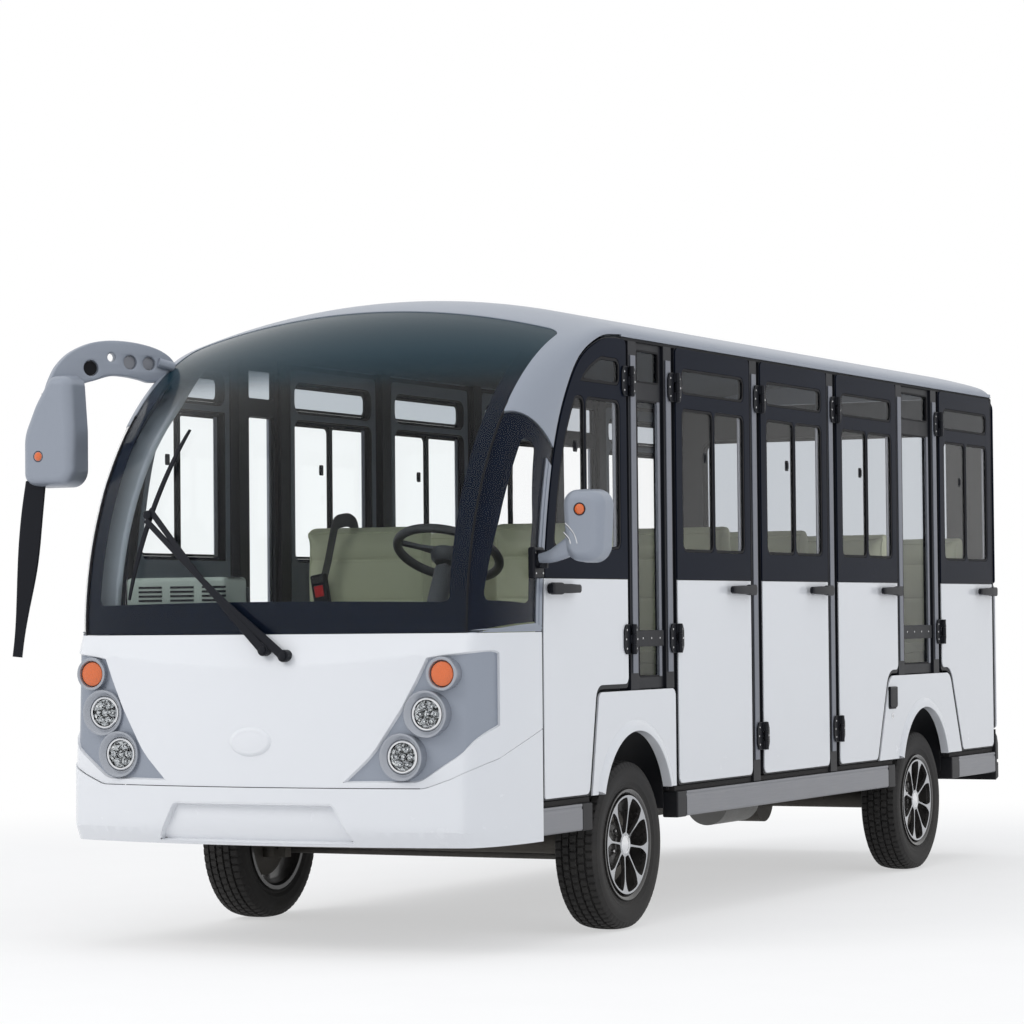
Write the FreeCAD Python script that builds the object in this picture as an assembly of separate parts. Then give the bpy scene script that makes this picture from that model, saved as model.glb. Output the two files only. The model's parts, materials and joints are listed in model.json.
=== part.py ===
"""Electric sightseeing bus: one solid per sub-part, written to parts/NODE.step.

Millimetres. +X is the bus's left, the front faces -Y, +Z is up and the wheels stand on Z = 0.
The origin lies on the ground under the middle of the bus.
"""
import FreeCAD
import Part

import math
import os

V = FreeCAD.Vector

# ---------------------------------------------------------------- driving dimensions
BODY_LENGTH = 4850.0          # nose to rear bumper
BODY_WIDTH = 1500.0           # over the side panels
BUMPER_DEPTH = 32.0           # rear bumper behind the rear wall

# heights above the ground
SILL_BOTTOM = 339.0
SILL_TOP = 427.0
DOOR_BOTTOM = 446.0
ARCH_PANEL_TOP = 766.0
WAIST = 960.0                 # top of the front fascia, foot of the windscreen
BELT = 1122.0                 # top of the white door panels
DOOR_TOP = 1893.0
PANEL_GAP = 8.0               # round the doors and between fixed panels

# side layout, front to rear
NOSE_TO_DOOR = 486.0          # nose to the front edge of the front door
FRONT_DOOR_WIDTH = 633.0
DOOR_WIDTH = 645.0
HINGE_GAP = 20.0
LATCH_GAP = 10.0
PILLAR_WIDTH = 66.0
FRONT_PANE_WIDTH = 215.0
REAR_PANE_WIDTH = 339.0
DOOR_THICKNESS = 30.0
PANEL_THICKNESS = 22.0
GLASS_THICKNESS = 6.0
GLASS_PLAY = 0.3              # between a pane and its frame

# windows
WINDOW_MARGIN = 60.0
WINDOW_BOTTOM = 1222.0
WINDOW_TOP = 1684.0
TRANSOM_BOTTOM = 1744.0
TRANSOM_TOP = 1817.0
WINDOW_CORNER = 22.0
SLIDER_BAR = 20.0             # upright between the two sliding panes
CURVED_FRAME = 60.0           # frame along the front door's curved edge

# wheels and axles
WHEELBASE = 2750.0
DOOR_TO_AXLE = 680.0          # front door's front edge to the front axle
TYRE_RADIUS = 272.0
TYRE_WIDTH = 150.0
RIM_RADIUS = 165.0            # bead seat
RIM_WIDTH = 140.0
RIM_FLANGE = 13.0
WHEEL_CENTRE_X = 648.0
KINGPIN_X = 604.0
KINGPIN_RADIUS = 14.0
SPINDLE_RADIUS = 20.0
SHAFT_PLAY = 0.08             # radial clearance of pins and spindles
ARCH_RADIUS = 269.0
ARCH_RISE = 95.0              # arch centre above the wheel centre

# front dome: a barrel turned about an axis across the bus
DOME_AXIS_BACK = 647.0        # behind the front door's front edge
DOME_RADIUS = 1085.0          # at the centre line
DOME_CORNER = 85.0            # body side to the windscreen's edge
DOME_SAG = 93.0               # drop of the barrel at the seam
CAP_ANGLE = 71.5              # windscreen's top edge, degrees above the axis
CLAW_ANGLE = 45.0             # lower end of the roof cap's side claws
SCREEN_THICKNESS = 8.0
ROOF_THICKNESS = 26.0
JOIN = 0.3                    # between solids that are fastened face to face

# ---------------------------------------------------------------- derived places
HALF = BODY_WIDTH / 2
NOSE_Y = -BODY_LENGTH / 2
REAR_Y = BODY_LENGTH / 2
REAR_WALL_Y = REAR_Y - BUMPER_DEPTH
DOOR_LINE = NOSE_Y + NOSE_TO_DOOR
FRONT_AXLE_Y = DOOR_LINE + DOOR_TO_AXLE
REAR_AXLE_Y = FRONT_AXLE_Y + WHEELBASE
DOME_Y = DOOR_LINE + DOME_AXIS_BACK
DOME_SEAM_X = HALF - DOME_CORNER
DOME_SEAM_RADIUS = DOME_RADIUS - DOME_SAG
DOME_ARC = (DOME_SEAM_X ** 2 + DOME_SAG ** 2) / (2 * DOME_SAG)
EAVE = DOOR_TOP + PANEL_GAP
DOOR_INNER = HALF - DOOR_THICKNESS
DOOR_CLEARANCE = 6.0          # behind the closed doors
FLOOR_TOP = DOOR_BOTTOM
FLOOR_THICKNESS = 14.0

front_door = (DOOR_LINE, DOOR_LINE + FRONT_DOOR_WIDTH)
pillar_1 = front_door[1] + HINGE_GAP
front_pane = (pillar_1 + PILLAR_WIDTH, pillar_1 + PILLAR_WIDTH + FRONT_PANE_WIDTH)
pillar_2 = front_pane[1]
door_2 = pillar_2 + PILLAR_WIDTH + HINGE_GAP
pillar_3 = door_2 + DOOR_WIDTH + LATCH_GAP
door_3 = pillar_3 + PILLAR_WIDTH + HINGE_GAP
pillar_4 = door_3 + DOOR_WIDTH + LATCH_GAP
door_4 = pillar_4 + PILLAR_WIDTH + HINGE_GAP
pillar_5 = door_4 + DOOR_WIDTH + LATCH_GAP
rear_pane = (pillar_5 + PILLAR_WIDTH, pillar_5 + PILLAR_WIDTH + REAR_PANE_WIDTH)
pillar_6 = rear_pane[1]
door_5 = pillar_6 + PILLAR_WIDTH + HINGE_GAP
rear_post = door_5 + DOOR_WIDTH + LATCH_GAP
PILLARS = [pillar_1, pillar_2, pillar_3, pillar_4, pillar_5, pillar_6]

os.makedirs("parts", exist_ok=True)


# ---------------------------------------------------------------- helpers
def box(x, y, z):
    """Box from three (low, high) pairs."""
    low = V(min(x), min(y), min(z))
    return Part.makeBox(abs(x[1] - x[0]), abs(y[1] - y[0]), abs(z[1] - z[0]), low)


def rod(start, end, radius):
    """Cylinder between two points."""
    start, end = V(*start), V(*end)
    return Part.makeCylinder(radius, (end - start).Length, start, end - start)


def fused(shapes):
    first, *rest = shapes
    return first.fuse(rest).removeSplitter() if rest else first


def mirrored(shape):
    return shape.mirror(V(0, 0, 0), V(1, 0, 0))


def both_sides(shapes):
    return list(shapes) + [mirrored(s) for s in shapes]


def side_face(points, x=0.0):
    """Face in the plane of the bus's side from (y, z) points."""
    corners = [V(x, y, z) for y, z in points]
    return Part.Face(Part.makePolygon(corners + corners[:1]))


def side_slab(face, x_low, x_high):
    """Slab between two X planes from a face drawn at X = 0."""
    slab = face.extrude(V(x_high - x_low, 0, 0))
    slab.translate(V(x_low, 0, 0))
    return slab


def rounded_rect(y, z, radius):
    """Rectangle with round corners in the side plane at X = 0."""
    plate = side_face([(y[0], z[0]), (y[1], z[0]), (y[1], z[1]), (y[0], z[1])])
    solid = plate.extrude(V(1, 0, 0))
    edges = [e for e in solid.Edges if abs(e.Length - 1) < 1e-6]
    solid = solid.makeFillet(radius, edges)
    return next(f for f in solid.Faces if abs(f.CenterOfMass.x) < 1e-6)


def save(name, shapes):
    """Write one node: one solid, or several that don't touch."""
    shapes = shapes if isinstance(shapes, list) else [shapes]
    solids = [solid for shape in shapes for solid in shape.Solids]
    node = solids[0] if len(solids) == 1 else Part.makeCompound(solids)
    node.exportStep("parts/" + name + ".step")
    print(name, len(solids), round(sum(s.Volume for s in solids) / 1e6, 2), "litres")


# ---------------------------------------------------------------- front door outline
# (distance behind the front edge, height) up the front edge and over the top corner
FRONT_DOOR_CURVE = [(0, WAIST), (11, 1122), (51, 1360), (105, 1545), (179, 1687), (284, 1808),
                    (433, 1877), (560, DOOR_TOP)]


def front_curve_edge(offset=0.0):
    """The curved front edge of the front door, moved outwards by offset."""
    points = []
    for back, height in FRONT_DOOR_CURVE:
        angle = math.atan2(height - WAIST, DOME_AXIS_BACK - back)
        points.append(V(0, DOOR_LINE + back - offset * math.cos(angle), height + offset * math.sin(angle)))
    curve = Part.BSplineCurve()
    curve.interpolate(points, InitialTangent=V(0, 0.01, 1), FinalTangent=V(0, 1, 0.02))
    return curve.toShape(), points


def behind_front_curve(inset=0.0):
    """Face of the front door, with its curved edge moved into the door by inset."""
    edge, points = front_curve_edge(-inset)
    foot, top = points[0], points[-1]
    corners = [foot, V(0, foot.y, DOOR_BOTTOM), V(0, front_door[1], DOOR_BOTTOM),
               V(0, front_door[1], top.z), top]
    outline = Part.makePolygon(corners).Edges + [edge]
    return Part.Face(Part.Wire(Part.__sortEdges__(outline)))


# ---------------------------------------------------------------- wheel arches
# outline of each arch panel, front to rear; corner = where its sloping edge meets the top,
# round = the radius there
ARCH_FRONT = {"axle": FRONT_AXLE_Y, "round": 26.0,
              "front": (FRONT_AXLE_Y - 334, DOOR_BOTTOM), "corner": (FRONT_AXLE_Y - 276, ARCH_PANEL_TOP),
              "rear_corner": (pillar_2 + PILLAR_WIDTH, ARCH_PANEL_TOP),
              "rear": (pillar_2 + PILLAR_WIDTH, DOOR_BOTTOM)}
ARCH_REAR = {"axle": REAR_AXLE_Y, "round": 60.0,
             "front": (REAR_AXLE_Y - 505, DOOR_BOTTOM), "corner": (REAR_AXLE_Y - 383, ARCH_PANEL_TOP),
             "rear_corner": (REAR_AXLE_Y + 315, ARCH_PANEL_TOP),
             "rear": (REAR_AXLE_Y + 450, DOOR_BOTTOM)}
ARCH_LIP = 14.0               # raised rim round the opening
ARCH_LIP_HEIGHT = 10.0


def arch_cutter(arch, radius, x_low, x_high):
    """Opening over a wheel: a round top on straight legs down past the panel."""
    centre_z = TYRE_RADIUS + ARCH_RISE
    axle = arch["axle"]
    top = rod((x_low, axle, centre_z), (x_high, axle, centre_z), radius)
    legs = box((x_low, x_high), (axle - radius, axle + radius), (TYRE_RADIUS - 60, centre_z))
    return fused([top, legs])


def arch_slab(arch, grow, x_low, x_high):
    """The arch panel's outline as a slab, grown by a gap towards the doors round it."""
    points = []
    for foot, corner, side in ((arch["front"], arch["corner"], -1), (arch["rear"], arch["rear_corner"], 1)):
        lean = (corner[0] - foot[0]) / (corner[1] - foot[1])
        shift = side * grow * math.hypot(1, lean)
        edge = [(foot[0] + shift - lean * grow, foot[1] - grow), (corner[0] + shift + lean * grow, corner[1] + grow)]
        points += edge if side < 0 else edge[::-1]
    slab = side_slab(side_face(points), x_low, x_high)
    upper = [e for e in slab.Edges if abs(e.Length - (x_high - x_low)) < 1e-6
             and abs(e.Vertexes[0].Z - points[1][1]) < 1e-3]
    return slab.makeFillet(arch["round"] + grow, upper)


def arch_panel(arch):
    panel = arch_slab(arch, 0, HALF - PANEL_THICKNESS, HALF)
    lip = arch_cutter(arch, ARCH_RADIUS + ARCH_LIP, HALF - PANEL_THICKNESS, HALF + ARCH_LIP_HEIGHT)
    lip = lip.common(arch_slab(arch, 0, HALF - PANEL_THICKNESS, HALF + ARCH_LIP_HEIGHT))
    opening = arch_cutter(arch, ARCH_RADIUS, HALF - 100, HALF + 100)
    return fused([panel, lip]).cut(opening)


# ---------------------------------------------------------------- doors
HINGE_RADIUS = 9.0
HINGE_PIN_RADIUS = 4.0
HINGE_AXIS_X = HALF + 13.0
HINGE_HEIGHT = 96.0
LEAF_THICKNESS = 5.0
LEAF_WIDTH = 44.0
HANDLE = {"length": 125.0, "height": 36.0, "reach": 40.0}
UPPER_HINGE_Z = 1756.0
LOWER_HINGE_Z = 930.0
FOOT_HINGE_Z = 583.0


def window_faces(y_low, y_high, play, curved_front):
    """A door's openings, drawn smaller by play: two sliding panes and the transom above them."""
    middle = (y_low + y_high) / 2
    low, high = y_low + play, y_high - play
    slider_z = (WINDOW_BOTTOM + play, WINDOW_TOP - play)
    transom_z = (TRANSOM_BOTTOM + play, TRANSOM_TOP - play)
    corner = WINDOW_CORNER - play
    faces = [rounded_rect((low, middle - SLIDER_BAR / 2 - play), slider_z, corner),
             rounded_rect((middle + SLIDER_BAR / 2 + play, high), slider_z, corner),
             rounded_rect((low, high), transom_z, corner)]
    if curved_front:
        limit = behind_front_curve(CURVED_FRAME + play)
        faces = [face.common(limit).Faces[0] for face in faces]
    return faces


def hinge_halves(axis_y, height, door_side):
    """One hinge: (door half, pillar half). door_side is +1 when the door lies behind the axis."""
    third = HINGE_HEIGHT / 3
    low = height - HINGE_HEIGHT / 2
    play = 0.6

    def barrel(z_low, z_high):
        return rod((HINGE_AXIS_X, axis_y, z_low), (HINGE_AXIS_X, axis_y, z_high), HINGE_RADIUS)

    def leaf(side, z_low, z_high):
        reach = side * (HINGE_GAP / 2 + LEAF_WIDTH)
        plate = box((HALF, HALF + LEAF_THICKNESS), (axis_y + side * HINGE_GAP / 2, axis_y + reach),
                    (low, low + HINGE_HEIGHT))
        neck = box((HALF, HINGE_AXIS_X), (axis_y, axis_y + side * (HINGE_GAP / 2 + 4)), (z_low, z_high))
        return [plate, neck]

    bore = rod((HINGE_AXIS_X, axis_y, low), (HINGE_AXIS_X, axis_y, low + HINGE_HEIGHT),
               HINGE_PIN_RADIUS + SHAFT_PLAY)
    door_z = (low + third + play, low + 2 * third - play)
    door_half = fused([barrel(*door_z)] + leaf(door_side, *door_z)).cut(bore)
    pin = rod((HINGE_AXIS_X, axis_y, low), (HINGE_AXIS_X, axis_y, low + HINGE_HEIGHT), HINGE_PIN_RADIUS)
    pillar_parts = [pin, barrel(low, low + third), barrel(low + 2 * third, low + HINGE_HEIGHT)]
    pillar_parts += leaf(-door_side, low, low + third)
    pillar_parts += leaf(-door_side, low + 2 * third, low + HINGE_HEIGHT)
    return door_half, fused(pillar_parts)


def handle(free_edge_y, inward):
    """Lever handle near the free edge; inward is the sign from that edge into the door."""
    start = free_edge_y + inward * 14
    end = start + inward * HANDLE["length"]
    z = (BELT - 32 - HANDLE["height"] / 2, BELT - 32 + HANDLE["height"] / 2)
    grip = box((HALF + HANDLE["reach"] - 14, HALF + HANDLE["reach"]), (start, end), z)
    post = box((HALF, HALF + HANDLE["reach"] - 14), (end - inward * 40, end), z)
    return fused([grip, post])


def door(face, y_low, y_high, hinge_heights, arch=None, curved_front=False):
    """A door slab with its windows cut, panes set in, hinge halves and handle; and the pillar halves.

    The front door hangs on its rear edge, the others on their front edge.
    """
    slab = side_slab(face, DOOR_INNER, HALF)
    if arch is not None:
        slab = slab.cut(arch_slab(arch, PANEL_GAP, DOOR_INNER - 10, HALF + 10))
    panes = []
    middle = HALF - DOOR_THICKNESS / 2
    pane_x = (middle - GLASS_THICKNESS / 2, middle + GLASS_THICKNESS / 2)
    window_y = (y_low + WINDOW_MARGIN, y_high - WINDOW_MARGIN)
    for opening in window_faces(*window_y, 0, curved_front):
        slab = slab.cut(side_slab(opening, DOOR_INNER - 10, HALF + 10))
    for pane in window_faces(*window_y, GLASS_PLAY, curved_front):
        panes.append(side_slab(pane, *pane_x))
    side = -1 if curved_front else 1
    axis_y = y_high + HINGE_GAP / 2 if curved_front else y_low - HINGE_GAP / 2
    halves = [hinge_halves(axis_y, height, side) for height in hinge_heights]
    lever = handle(y_low, 1) if curved_front else handle(y_high, -1)
    slab = fused([slab, lever] + [half[0] for half in halves])
    return [slab] + panes, [half[1] for half in halves]


def build_doors():
    """Save the ten doors and return the pillar halves of the left side's hinges."""
    doors = {}
    doors[1], fixed = door(behind_front_curve(), *front_door, (UPPER_HINGE_Z, LOWER_HINGE_Z), ARCH_FRONT, True)
    layout = {2: (door_2, LOWER_HINGE_Z, None), 3: (door_3, FOOT_HINGE_Z, None),
              4: (door_4, FOOT_HINGE_Z, ARCH_REAR), 5: (door_5, LOWER_HINGE_Z, ARCH_REAR)}
    for number, (y, lower_hinge, arch) in layout.items():
        face = side_face([(y, DOOR_BOTTOM), (y + DOOR_WIDTH, DOOR_BOTTOM), (y + DOOR_WIDTH, DOOR_TOP), (y, DOOR_TOP)])
        doors[number], halves = door(face, y, y + DOOR_WIDTH, (UPPER_HINGE_Z, lower_hinge), arch)
        fixed += halves
    for number, parts in doors.items():
        save("door_left_%d" % number, parts)
        save("door_right_%d" % number, [mirrored(p) for p in parts])
    return fixed


# ---------------------------------------------------------------- front dome, roof and fascia
def corner_poles(seam, edge, offset):
    """Bezier poles, in the (x, r) plane, from the windscreen seam round to the body side."""
    side = HALF - offset
    first = V(DOME_SEAM_X, seam - offset, 0)
    last = V(side, edge, 0)
    reach = (side - DOME_SEAM_X) * 0.62
    slope = 2 * DOME_SAG / DOME_SEAM_X
    return [first, V(DOME_SEAM_X + reach, first.y - slope * reach, 0),
            V(side, last.y + (first.y - last.y) * 0.5, 0), last]


def bezier(poles):
    curve = Part.BezierCurve()
    curve.setPoles(poles)
    return curve.toShape()


def corner_section(seam, edge, thickness, inset=0.0):
    """Closed outline of the body corner only, on the left side."""
    outer = corner_poles(seam, edge, inset)
    inner = corner_poles(seam, edge, inset + thickness)
    return Part.Wire([bezier(outer), Part.makeLine(outer[-1], inner[-1]), bezier(inner[::-1]),
                      Part.makeLine(inner[0], outer[0])])


def full_section(centre, seam, edge, thickness, inset=0.0):
    """Closed outline across the whole bus, from door edge to door edge."""
    edges = []
    for offset in (inset, inset + thickness):
        poles = corner_poles(seam, edge, offset)
        left = bezier(poles)
        start = poles[0]
        arc = Part.Arc(V(-start.x, start.y, 0), V(0, centre - offset, 0), start).toShape()
        edges += [mirrored(left), arc, left]
    for side in (1, -1):
        edges.append(Part.makeLine(V(side * (HALF - inset), edge, 0),
                                   V(side * (HALF - inset - thickness), edge, 0)))
    return Part.Wire(Part.__sortEdges__(edges))


def at_angle(wire, angle):
    """Turn an (x, r) outline into the plane at an angle above the dome axis."""
    turned = wire.copy()
    turned.rotate(V(0, 0, 0), V(1, 0, 0), 180 - angle)
    turned.translate(V(0, DOME_Y, WAIST))
    return turned


def at_height(wire, height):
    """Lay an (x, r) outline level at a height, with the dome axis's place in plan."""
    level = at_angle(wire, 0)
    level.translate(V(0, 0, height - WAIST))
    return level


def dome_wedge(low, high):
    """Everything between two angles about the dome axis, as a wide prism."""
    reach = 3000.0
    points = [(DOME_Y, WAIST)]
    for angle in (low, (low + high) / 2, high):
        turn = math.radians(angle)
        points.append((DOME_Y - reach * math.cos(turn), WAIST + reach * math.sin(turn)))
    return side_slab(side_face(points), -1000, 1000)


def dome_corner(thickness, inset=0.0):
    """Left corner of the dome, from the waist round to the roof."""
    points = front_curve_edge(PANEL_GAP)[1]
    wires = []
    for point in points + [V(0, DOME_Y, EAVE)]:
        forward, up = DOME_Y - point.y, point.z - WAIST
        section = corner_section(DOME_SEAM_RADIUS, math.hypot(forward, up), thickness, inset)
        wires.append(at_angle(section, math.degrees(math.atan2(up, forward))))
    return Part.makeLoft(wires, True, False)


def dome_band(low, high, thickness, inset, half_width):
    """Part of the barrel between two angles, between the seams."""
    face = []
    for offset in (inset, inset + thickness):
        radius = DOME_ARC - offset
        ends = [V(s * half_width, DOME_RADIUS - DOME_ARC + math.sqrt(radius ** 2 - half_width ** 2), 0)
                for s in (-1, 1)]
        face.append((ends, Part.Arc(ends[0], V(0, DOME_RADIUS - offset, 0), ends[1]).toShape()))
    (outer, arc), (inner, inner_arc) = face
    sides = [Part.makeLine(outer[i], inner[i]) for i in (0, 1)]
    section = Part.Face(at_angle(Part.Wire(Part.__sortEdges__([arc, sides[1], inner_arc, sides[0]])), low))
    return section.revolve(V(0, DOME_Y, WAIST), V(1, 0, 0), low - high)


MAIN_ROOF_START = DOME_Y + JOIN
MAIN_ROOF_END = REAR_WALL_Y + 14.0


def roof_lining_face(offset):
    """Face across the bus at the dome axis, under the roof's outline moved in by offset."""
    poles = corner_poles(DOME_SEAM_RADIUS, EAVE - WAIST, offset)
    corner, start, foot = bezier(poles), poles[0], poles[-1]
    arc = Part.Arc(V(-start.x, start.y, 0), V(0, DOME_RADIUS - offset, 0), start).toShape()
    base = Part.makeLine(foot, V(-foot.x, foot.y, 0))
    outline = Part.Wire(Part.__sortEdges__([arc, corner, base, mirrored(corner)]))
    return Part.Face(at_angle(outline, 90))


def build_roof():
    cap = dome_band(CAP_ANGLE, 90, ROOF_THICKNESS, 0, DOME_SEAM_X - JOIN)
    claw = dome_corner(ROOF_THICKNESS).common(dome_wedge(CLAW_ANGLE, 90))
    save("roof_front_cap", [cap] + both_sides([claw]))
    section = Part.Face(at_angle(full_section(DOME_RADIUS, DOME_SEAM_RADIUS, EAVE - WAIST, ROOF_THICKNESS), 90))
    section.translate(V(0, MAIN_ROOF_START - DOME_Y, 0))
    shell = section.extrude(V(0, MAIN_ROOF_END - MAIN_ROOF_START, 0))
    save("roof", shell)


# front fascia: the plan outline moves forward below the waist
FASCIA_SHIFT = [(WAIST - JOIN, 0), (890, 22), (700, 37), (500, 40)]
BUMPER_SHIFT = [(498, 48), (400, 48), (326, 40)]
FASCIA_THICKNESS = ROOF_THICKNESS
BUMPER_THICKNESS = ROOF_THICKNESS
LAMP_RECESS = 12.0
# front view of the left lamp panel, (x, z)
LAMP_PANEL = [(300, 514), (545, 514), (705, 690), (722, 905), (560, 893)]
LAMPS = {"orange": (611, 840, 40), "upper": (562, 721, 58), "lower": (491, 595, 58)}
LAMP_DEPTH = 60.0


def nose_shell(shifts, thickness, inset=0.0):
    wires = []
    for height, shift in shifts:
        section = full_section(DOME_RADIUS + shift, DOME_SEAM_RADIUS + shift, DOME_AXIS_BACK + PANEL_GAP,
                               thickness, inset)
        wires.append(at_height(section, height))
    return Part.makeLoft(wires, True, False)


def front_prism(points, y_low, y_high):
    corners = [V(x, y_low, z) for x, z in points]
    return Part.Face(Part.makePolygon(corners + corners[:1])).extrude(V(0, y_high - y_low, 0))


def nose_y_at(x, shift=40.0):
    """Y of the nose's outer face at a distance from the centre line, for a forward shift."""
    sag = DOME_ARC - math.sqrt(DOME_ARC ** 2 - x ** 2)
    return DOME_Y - DOME_RADIUS - shift + sag


def build_front():
    shell = nose_shell(FASCIA_SHIFT, FASCIA_THICKNESS)
    reach = (NOSE_Y - 100, DOOR_LINE - 60)
    cutter = front_prism(LAMP_PANEL, *reach)
    inner = [(x + dx, z + dz) for (x, z), (dx, dz) in
             zip(LAMP_PANEL, [(1.0, 0.4), (-0.3, 0.4), (-0.4, 0.3), (-0.4, -0.4), (0.4, -0.4)])]
    panel_zone = front_prism(inner, *reach)
    save("front_fascia", shell.cut(Part.makeCompound(both_sides([cutter]))))
    panel = nose_shell(FASCIA_SHIFT, FASCIA_THICKNESS - LAMP_RECESS, LAMP_RECESS).common(panel_zone)
    lamps = []
    for x, z, radius in LAMPS.values():
        front = nose_y_at(x) + 4
        panel = panel.cut(rod((x, front - 60, z), (x, front + 120, z), radius + GLASS_PLAY))
        lamps.append(rod((x, front, z), (x, front + LAMP_DEPTH, z), radius))
    save("lamp_panels", both_sides([panel]))
    save("front_lamps", both_sides(lamps))
    bumper = nose_shell(BUMPER_SHIFT, BUMPER_THICKNESS)
    recess = [(-350, 310), (350, 310), (277, 455), (-277, 455)]
    bumper = bumper.cut(front_prism(recess, NOSE_Y - 50, NOSE_Y + 10))
    save("front_bumper", bumper)


GLASS_ANGLE_PLAY = math.degrees(JOIN / DOME_RADIUS)


def build_glass():
    save("windshield", dome_band(0.0, CAP_ANGLE - GLASS_ANGLE_PLAY, SCREEN_THICKNESS, 3, DOME_SEAM_X - JOIN))
    quarter = dome_corner(SCREEN_THICKNESS, 3).common(dome_wedge(0.0, CLAW_ANGLE - GLASS_ANGLE_PLAY))
    save("quarter_glass", both_sides([quarter]))
    pane_z = (ARCH_PANEL_TOP + PANEL_GAP + 30, DOOR_TOP - 20)
    panes = [box((HALF - 26, HALF - 26 + GLASS_THICKNESS), (low + GLASS_PLAY, high - GLASS_PLAY), pane_z)
             for low, high in (front_pane, rear_pane)]
    save("side_glass", both_sides(panes))


# ---------------------------------------------------------------- body sides and rear
PILLAR_DEPTH = 46.0
REAR_THICKNESS = 24.0
RAIL_WIDTH = 28.0
RAIL_TOP = DOOR_TOP + 20.5
RAIL_BOTTOM = DOOR_TOP - 28.0
REAR_POST = {"inset": 36.0, "depth": 46.0}
FRONT_POST = {"inner": 690.0, "outer": 722.2, "near": 6.0, "far": 34.0, "foot": 505.0, "top_angle": 52.0}


def front_post():
    """Bar behind the quarter glass that follows the front door's curved edge."""
    near, far = [front_curve_edge(FRONT_POST[k]) for k in ("near", "far")]
    ends = [Part.makeLine(near[1][i], far[1][i]) for i in (0, -1)]
    upper = Part.Face(Part.Wire(Part.__sortEdges__([near[0], ends[0], far[0], ends[1]])))
    bar = side_slab(upper, FRONT_POST["inner"], FRONT_POST["outer"])
    bar = bar.common(dome_wedge(0, FRONT_POST["top_angle"]))
    lower = box((FRONT_POST["inner"], FRONT_POST["outer"]),
                (DOOR_LINE - FRONT_POST["far"], DOOR_LINE - FRONT_POST["near"]), (FRONT_POST["foot"], WAIST))
    return fused([bar, lower])


def build_sides(hinge_halves_left):
    """Pillars, top rail and posts of each side, with the fixed hinge halves on the pillars."""
    inner = HALF - PILLAR_DEPTH
    pieces = []
    for y in PILLARS:
        over_arch = y in (pillar_1, pillar_2, pillar_5, pillar_6)
        foot = ARCH_PANEL_TOP if over_arch else SILL_TOP
        pieces.append(box((inner, HALF), (y, y + PILLAR_WIDTH), (foot + JOIN, EAVE - JOIN)))
    pillars = []
    for pillar in pieces:
        near = [h for h in hinge_halves_left if pillar.distToShape(h)[0] < 0.01]
        pillars.append(fused([pillar] + near))
    wall_y = REAR_WALL_Y - REAR_THICKNESS - JOIN
    rail = box((inner - RAIL_WIDTH, inner - JOIN), (DOME_Y + 40, wall_y), (RAIL_BOTTOM, RAIL_TOP))
    rear_post = box((DOOR_INNER - 6 - REAR_POST["inset"], DOOR_INNER - 6), (wall_y - REAR_POST["depth"], wall_y),
                    (FLOOR_TOP + JOIN, RAIL_BOTTOM - JOIN))
    left = pillars + [rail, rear_post, front_post()]
    save("side_pillars", both_sides(left))


SILL_DEPTH = 60.0
MOUTH = 330.0                 # from an axle to the sill ends beside its wheel


def build_sills():
    spans = [(DOOR_LINE - PANEL_GAP + JOIN, FRONT_AXLE_Y - MOUTH), (FRONT_AXLE_Y + MOUTH, REAR_AXLE_Y - MOUTH),
             (REAR_AXLE_Y + MOUTH, REAR_WALL_Y - REAR_THICKNESS - JOIN)]
    sills = [box((HALF - SILL_DEPTH, HALF - 2), span, (SILL_BOTTOM, SILL_TOP)) for span in spans]
    save("sills", both_sides(sills))
    save("arch_panels", both_sides([arch_panel(ARCH_FRONT), arch_panel(ARCH_REAR)]))


REAR_WINDOW = {"x": 560.0, "z": (1190.0, 1760.0)}
REAR_BUMPER_Z = (310.0, 520.0)
TAIL_LAMP = {"x": (600.0, 690.0), "z": (690.0, 960.0), "depth": 14.0, "proud": 10.0}


def build_rear():
    """Rear wall up to the underside of the roof, with its window, lamps and bumper."""
    y = (REAR_WALL_Y - REAR_THICKNESS, REAR_WALL_Y)
    wall = box((-HALF, HALF), y, (REAR_BUMPER_Z[1] + JOIN, EAVE - JOIN))
    gable = roof_lining_face(ROOF_THICKNESS + JOIN).extrude(V(0, REAR_THICKNESS, 0))
    gable.translate(V(0, y[0] - DOME_Y, 0))
    collar = box((-HALF + 2 * ROOF_THICKNESS, HALF - 2 * ROOF_THICKNESS), y, (EAVE - 5, EAVE + 5))
    wall = fused([wall, collar, gable])
    side = REAR_WINDOW["x"]
    window = box((-side, side), (y[0] - 10, y[1] + 10), REAR_WINDOW["z"])
    pane = box((-side + GLASS_PLAY, side - GLASS_PLAY), (REAR_WALL_Y - 16, REAR_WALL_Y - 10),
               (REAR_WINDOW["z"][0] + GLASS_PLAY, REAR_WINDOW["z"][1] - GLASS_PLAY))
    x, z = TAIL_LAMP["x"], TAIL_LAMP["z"]
    seat_y = REAR_WALL_Y - TAIL_LAMP["depth"]
    hole = box(x, (seat_y, y[1] + 10), z)
    lamp = box((x[0] + JOIN, x[1] - JOIN), (seat_y + JOIN, REAR_WALL_Y + TAIL_LAMP["proud"]),
               (z[0] + JOIN, z[1] - JOIN))
    save("rear_panel", wall.cut(Part.makeCompound([window] + both_sides([hole]))))
    save("rear_window", pane)
    save("tail_lamps", both_sides([lamp]))
    z = REAR_BUMPER_Z
    bumper = box((-HALF, HALF), (REAR_WALL_Y - 24, REAR_Y), z)
    upright = [e for e in bumper.Edges if abs(e.Length - (z[1] - z[0])) < 1e-6
               and abs(e.Vertexes[0].Y - REAR_Y) < 1e-6]
    bumper = bumper.makeFillet(40, upright)
    save("rear_bumper", bumper)


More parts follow.
